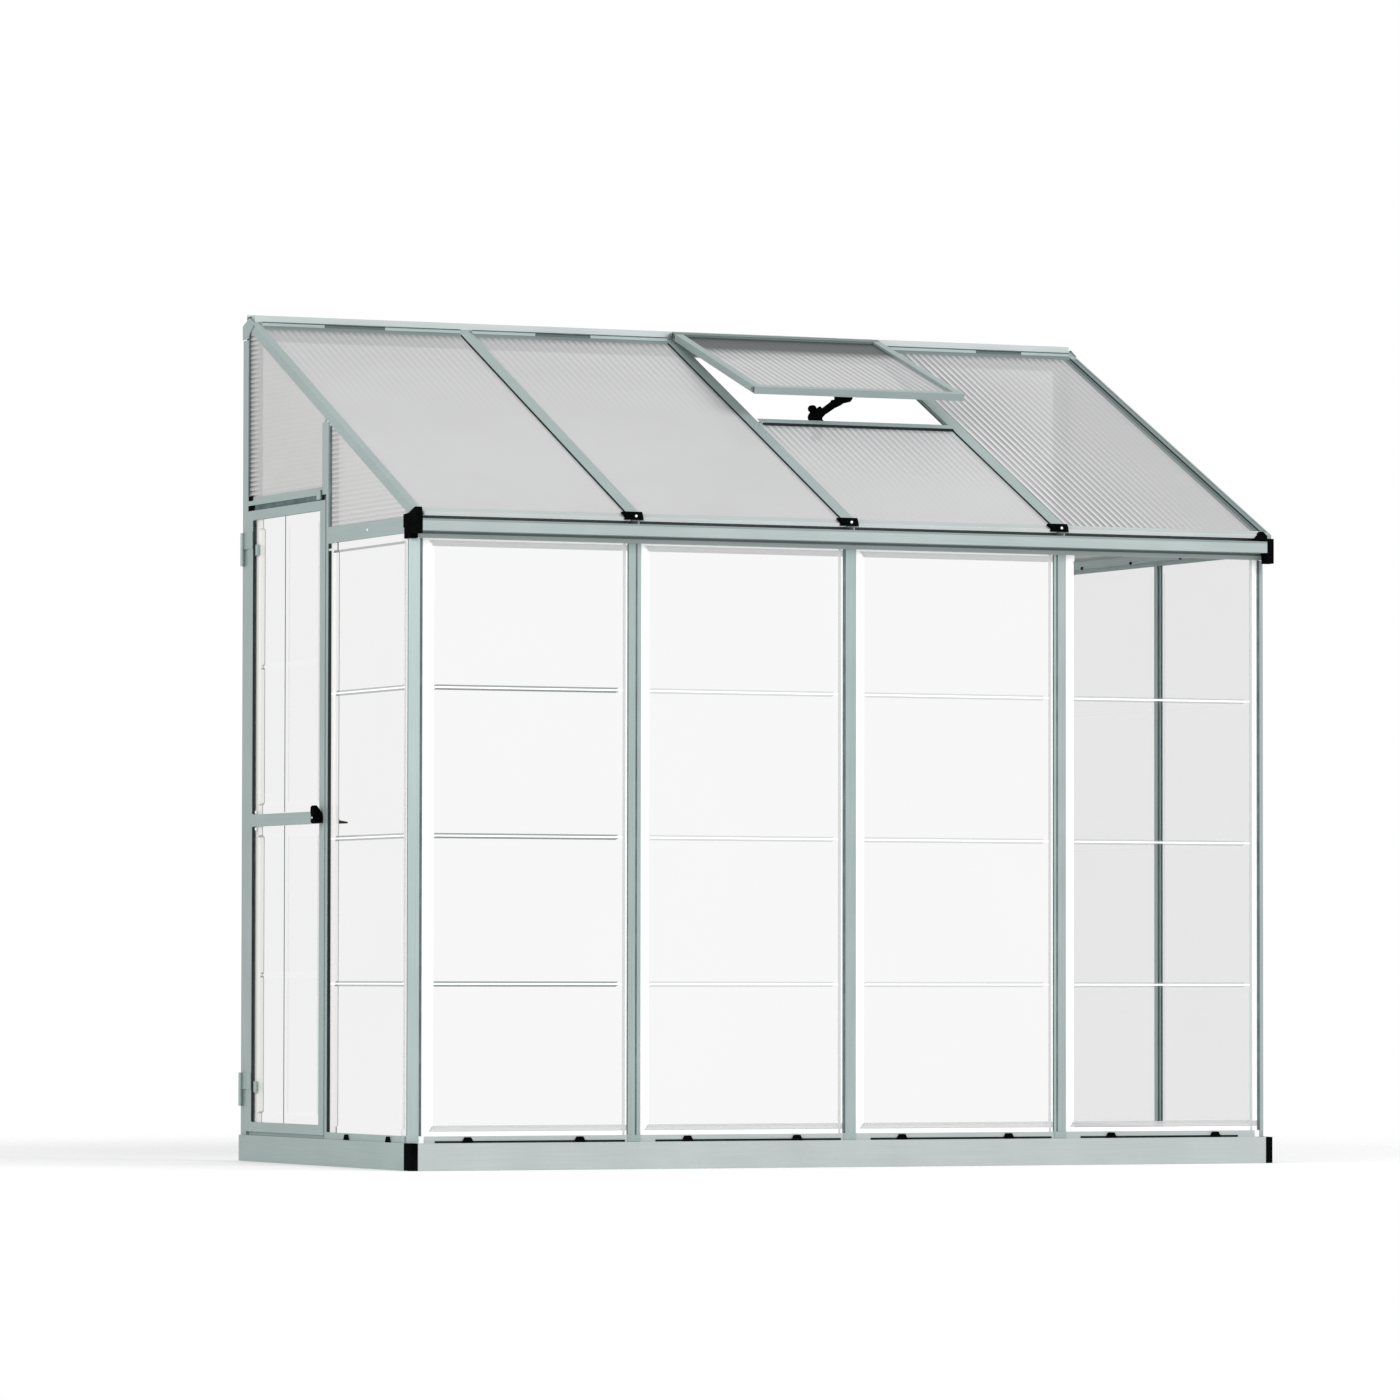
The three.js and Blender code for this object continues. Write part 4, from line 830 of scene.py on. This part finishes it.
def header_trim():
    """The groove over the door painted as shade, with its end blocks, the tab at its latch end, and the
    threshold.
    """
    # Painted shade in the groove over the door.
    groove = rectangle(7.5, 662, 10, 1160)
    mesh_object("header_groove_shade", upright(groove, 1778.6, 1792.4), shade_line_tone, "root")
    for i, (x0, y0, z0, z1) in enumerate(((4.2, 1160, 1778.6, 1792.4), (4.4, 1172, 1806, 1819))):
        mesh = upright(rectangle(x0, y0, 5.8, 1203), z0, z1)
        mesh_object(f"header_block_{i + 1}", mesh, black, "root", 0.5)
    tab = upright(rectangle(3.4, 664, 5.7, 692), 1781, 1806)
    mesh_object("header_tab", tab, metals["z"], "root", 0.4)
    tab_edge = upright(rectangle(3.6, 658, 5.7, 663.5), 1781, 1806)
    mesh_object("header_tab_edge", tab_edge, shade_line_tone, "root")
    threshold = [(12, 71.3), (15, 71.3), (15, 90), (9, 90), (9, 88), (12, 88)]
    mesh_object("door_threshold", crosswise(threshold, 645, 1205), metals["y"], "root", 0.3)
    line = rectangle(8.6, 86.4, 9.4, 88.4)
    mesh_object("door_threshold_line", crosswise(line, 645, 1205), gasket_black_and_shadow, "root")


def handle_parts():
    """The lever's rounded grip outside the door, and the hub with its blade inside."""
    grip = [
        (-23, 947), (-21.5, 958), (-18, 961), (-14, 960.5), (-10, 956), (0, 943), (3.8, 930), (3.8, 914),
        (-18, 912.5), (-22.5, 917), (-21, 930),
    ]
    piece = mesh_object("handle_grip", crosswise(grip, 636, 664), black, "latch", 1.5)
    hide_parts("door_handle")
    spindle = lengthwise(circle(650, 925, 6), 2, 36)
    mesh_object("handle_spindle", spindle, black, "latch", 0.4)
    hub = [(34, 912.5), (34, 930), (41, 935), (49, 932.5), (55, 921.5), (78, 918), (78, 913.5), (56, 912.5)]
    mesh_object("handle_hub", crosswise(hub, 645, 657), black, "latch")
    screw("handle_screw", (-22.9, 650, 928), (-1, 0, 0), 3.2, 0.8, "latch")


def vent_sill_trim():
    """Painted shadow along the foot of the vent's sill."""
    low, high = kit_box("vent_sill")
    front, rear = low.y - 7, low.y - 0.4
    # A dark strip that stands for the shadow at the sill's foot.
    seal = [
        (front, roof_top(front) + 0.2), (rear, roof_top(rear) + 0.2), (rear, roof_top(rear) + 4),
        (front, roof_top(front) + 1.5),
    ]
    mesh = lengthwise(seal, low.x + 1, high.x - 1)
    mesh_object("vent_sill_shadow", mesh, gasket_black_and_shadow, "root")


def stay_parts():
    """The clamp and its thumb lever on the stay, and the bracket they meet under the vent's rail."""
    clamp = [
        (1452, 2054), (1457, 2061), (1461.5, 2065), (1468, 2061), (1472, 2066), (1478, 2072.5),
        (1481, 2076), (1487, 2079), (1492, 2073), (1508, 2084), (1519, 2092), (1523, 2098),
        (1543, 2098), (1559, 2090), (1548, 2082.5), (1530, 2074.5), (1514, 2064), (1501, 2055.5),
        (1495, 2049.5), (1492, 2044), (1497, 2038), (1490, 2020), (1478, 1992), (1464, 1992),
        (1463, 2030), (1458, 2039), (1452, 2049),
    ]
    mesh_object("stay_clamp", crosswise(clamp, 670.8, 678), black, "stay", 0.6)
    shaft = crosswise(circle(1471, 2049, 5), 683, 701)
    mesh_object("stay_knob_shaft", shaft, black, "stay")
    lever = [
        (1469.5, 2044), (1469.5, 2052), (1474, 2060.5), (1471.5, 2065), (1466.5, 2068.5), (1466, 2075.5),
        (1468, 2080), (1472.5, 2083), (1478.5, 2084), (1485, 2082.3), (1489, 2076), (1493, 2068),
        (1492, 2050), (1482, 2044),
    ]
    mesh_object("stay_knob_lever", crosswise(lever, 700, 710), black, "stay", 0.8)
    bracket = [
        (1523, 2108), (1576, 2110), (1575, 2100), (1568.5, 2092), (1552, 2088), (1534, 2084), (1523, 2092),
    ]
    mesh_object("stay_bracket", crosswise(bracket, 650, 660), black, "vent", 0.8)


def door_trim():
    """Beads, painted shade lines along the creases, bolts and clips on the door."""
    for name, z0, z1 in (("upper", 948, 1751), ("lower", 108, 912)):
        mesh = upright(rectangle(2.9, 1148, 3.8, 1164), z0, z1)
        mesh_object(f"door_bead_{name}", mesh, gasket_black_and_shadow, "door", 0.2)
        # A painted shade line along each pane's crease.
        crease = upright(rectangle(7.6, 929, 8.4, 933), z0, z1)
        mesh_object(f"door_crease_shade_{name}", crease, shade_line_tone, "door")
    for i, z in enumerate((952, 906)):
        screw(f"door_bolt_{i + 1}", (3.8, 1136, z), (-1, 0, 0), 4.5, 2.5, "door")
    for i, z in enumerate((1669, 203)):
        mesh = upright(rectangle(2.8, 1128, 7.9, 1146), z - 15, z + 15)
        mesh_object(f"door_pane_clip_{i + 1}", mesh, metals["z"], "door", 0.6)


def fixings():
    """Screws of the clips and the beams."""
    for k in range(1, BAYS):
        screw(f"clip_screw_{k}", (bay_line(k) - 10.5, -14, 1716), (0, -1, 0), 3.6, 1.8, "root")
    for i, y in enumerate((464, 764, 1065)):
        bolt_place = (LENGTH - 36, y, 1673)
        screw(f"beam_bolt_right_{i + 1}", bolt_place, (-1, 0, 0), 4.5, 5, "root", black)
        screw(f"beam_screw_right_{i + 1}", (LENGTH - 6, y, 1673), (1, 0, 0), 4, 2, "root")
    screw("beam_screw_left", (6, 330, 1682), (-1, 0, 0), 4, 2, "root")


# Stage


def make_camera():
    data = bpy.data.cameras.new("camera")
    camera = bpy.data.objects.new("camera", data)
    bpy.context.scene.collection.objects.link(camera)
    data.sensor_width = sensor_width
    data.lens = sensor_width * focal_pixels / frame_pixels
    data.clip_start = 0.1
    data.clip_end = 200
    turn = (
        Matrix.Rotation(-math.radians(camera_yaw), 4, "Z")
        @ Matrix.Rotation(math.radians(90 + camera_pitch), 4, "X")
        @ Matrix.Rotation(math.radians(camera_roll), 4, "Z")
    )
    camera.matrix_world = Matrix.Translation(at(*camera_place)) @ turn
    bpy.context.scene.camera = camera


def make_floor():
    """A pale floor under the object that fades into the white background."""
    mesh = bmesh.new()
    bmesh.ops.create_circle(mesh, cap_ends=True, cap_tris=False, segments=64, radius=floor_radius)
    data = bpy.data.meshes.new("floor")
    mesh.to_mesh(data)
    mesh.free()
    floor = bpy.data.objects.new("floor", data)
    floor.location = (0, 0, -0.0005)
    bpy.context.scene.collection.objects.link(floor)
    material, tree, shader = new_material("floor_white")
    shader.inputs["Base Color"].default_value = (floor_tone, floor_tone, floor_tone, 1)
    shader.inputs["Roughness"].default_value = 0.9
    shader.inputs["Specular IOR Level"].default_value = 0.1
    coordinates = node(tree, "ShaderNodeTexCoord")
    distance = node(tree, "ShaderNodeVectorMath", {0: coordinates.outputs["Object"]}, operation="LENGTH")
    numbers = {"From Min": floor_fade[0], "From Max": floor_fade[1], "To Min": floor_opacity, "To Max": 0.0}
    numbers["Value"] = distance.outputs["Value"]
    fade = node(tree, "ShaderNodeMapRange", numbers, interpolation_type="SMOOTHSTEP")
    tree.links.new(fade.outputs[0], shader.inputs["Alpha"])
    data.materials.append(material)


def make_light():
    world = bpy.data.worlds.new("studio")
    bpy.context.scene.world = world
    world.use_nodes = True
    tree = world.node_tree
    tree.nodes.clear()
    output = node(tree, "ShaderNodeOutputWorld")
    light = node(tree, "ShaderNodeBackground", {"Color": (1, 1, 1, 1), "Strength": surround_light})
    seen = node(tree, "ShaderNodeBackground", {"Color": (1, 1, 1, 1), "Strength": background_light})
    paths = node(tree, "ShaderNodeLightPath").outputs
    direct = most(tree, paths["Is Camera Ray"], paths["Is Transmission Ray"])
    mix = node(tree, "ShaderNodeMixShader", {"Fac": direct})
    tree.links.new(light.outputs[0], mix.inputs[1])
    tree.links.new(seen.outputs[0], mix.inputs[2])
    tree.links.new(mix.outputs[0], output.inputs["Surface"])
    for name, (place, size, power) in lamps.items():
        data = bpy.data.lights.new(name, "AREA")
        data.size = size
        data.energy = power
        lamp = bpy.data.objects.new(name, data)
        lamp.location = place
        aim = Vector(lamp_target) - Vector(place)
        lamp.rotation_mode = "QUATERNION"
        lamp.rotation_quaternion = aim.to_track_quat("-Z", "Y")
        bpy.context.scene.collection.objects.link(lamp)


make_camera()
dress_frame()
sill_clips()
eaves_trim()
ridge_trim()
ridge_brackets()
rafter_gaskets_and_shade()
wall_shade_strips()
sill_trim()
right_cap()
header_trim()
handle_parts()
vent_sill_trim()
stay_parts()
door_trim()
fixings()
make_floor()
make_light()

scene = bpy.context.scene
scene.view_settings.view_transform = "Standard"
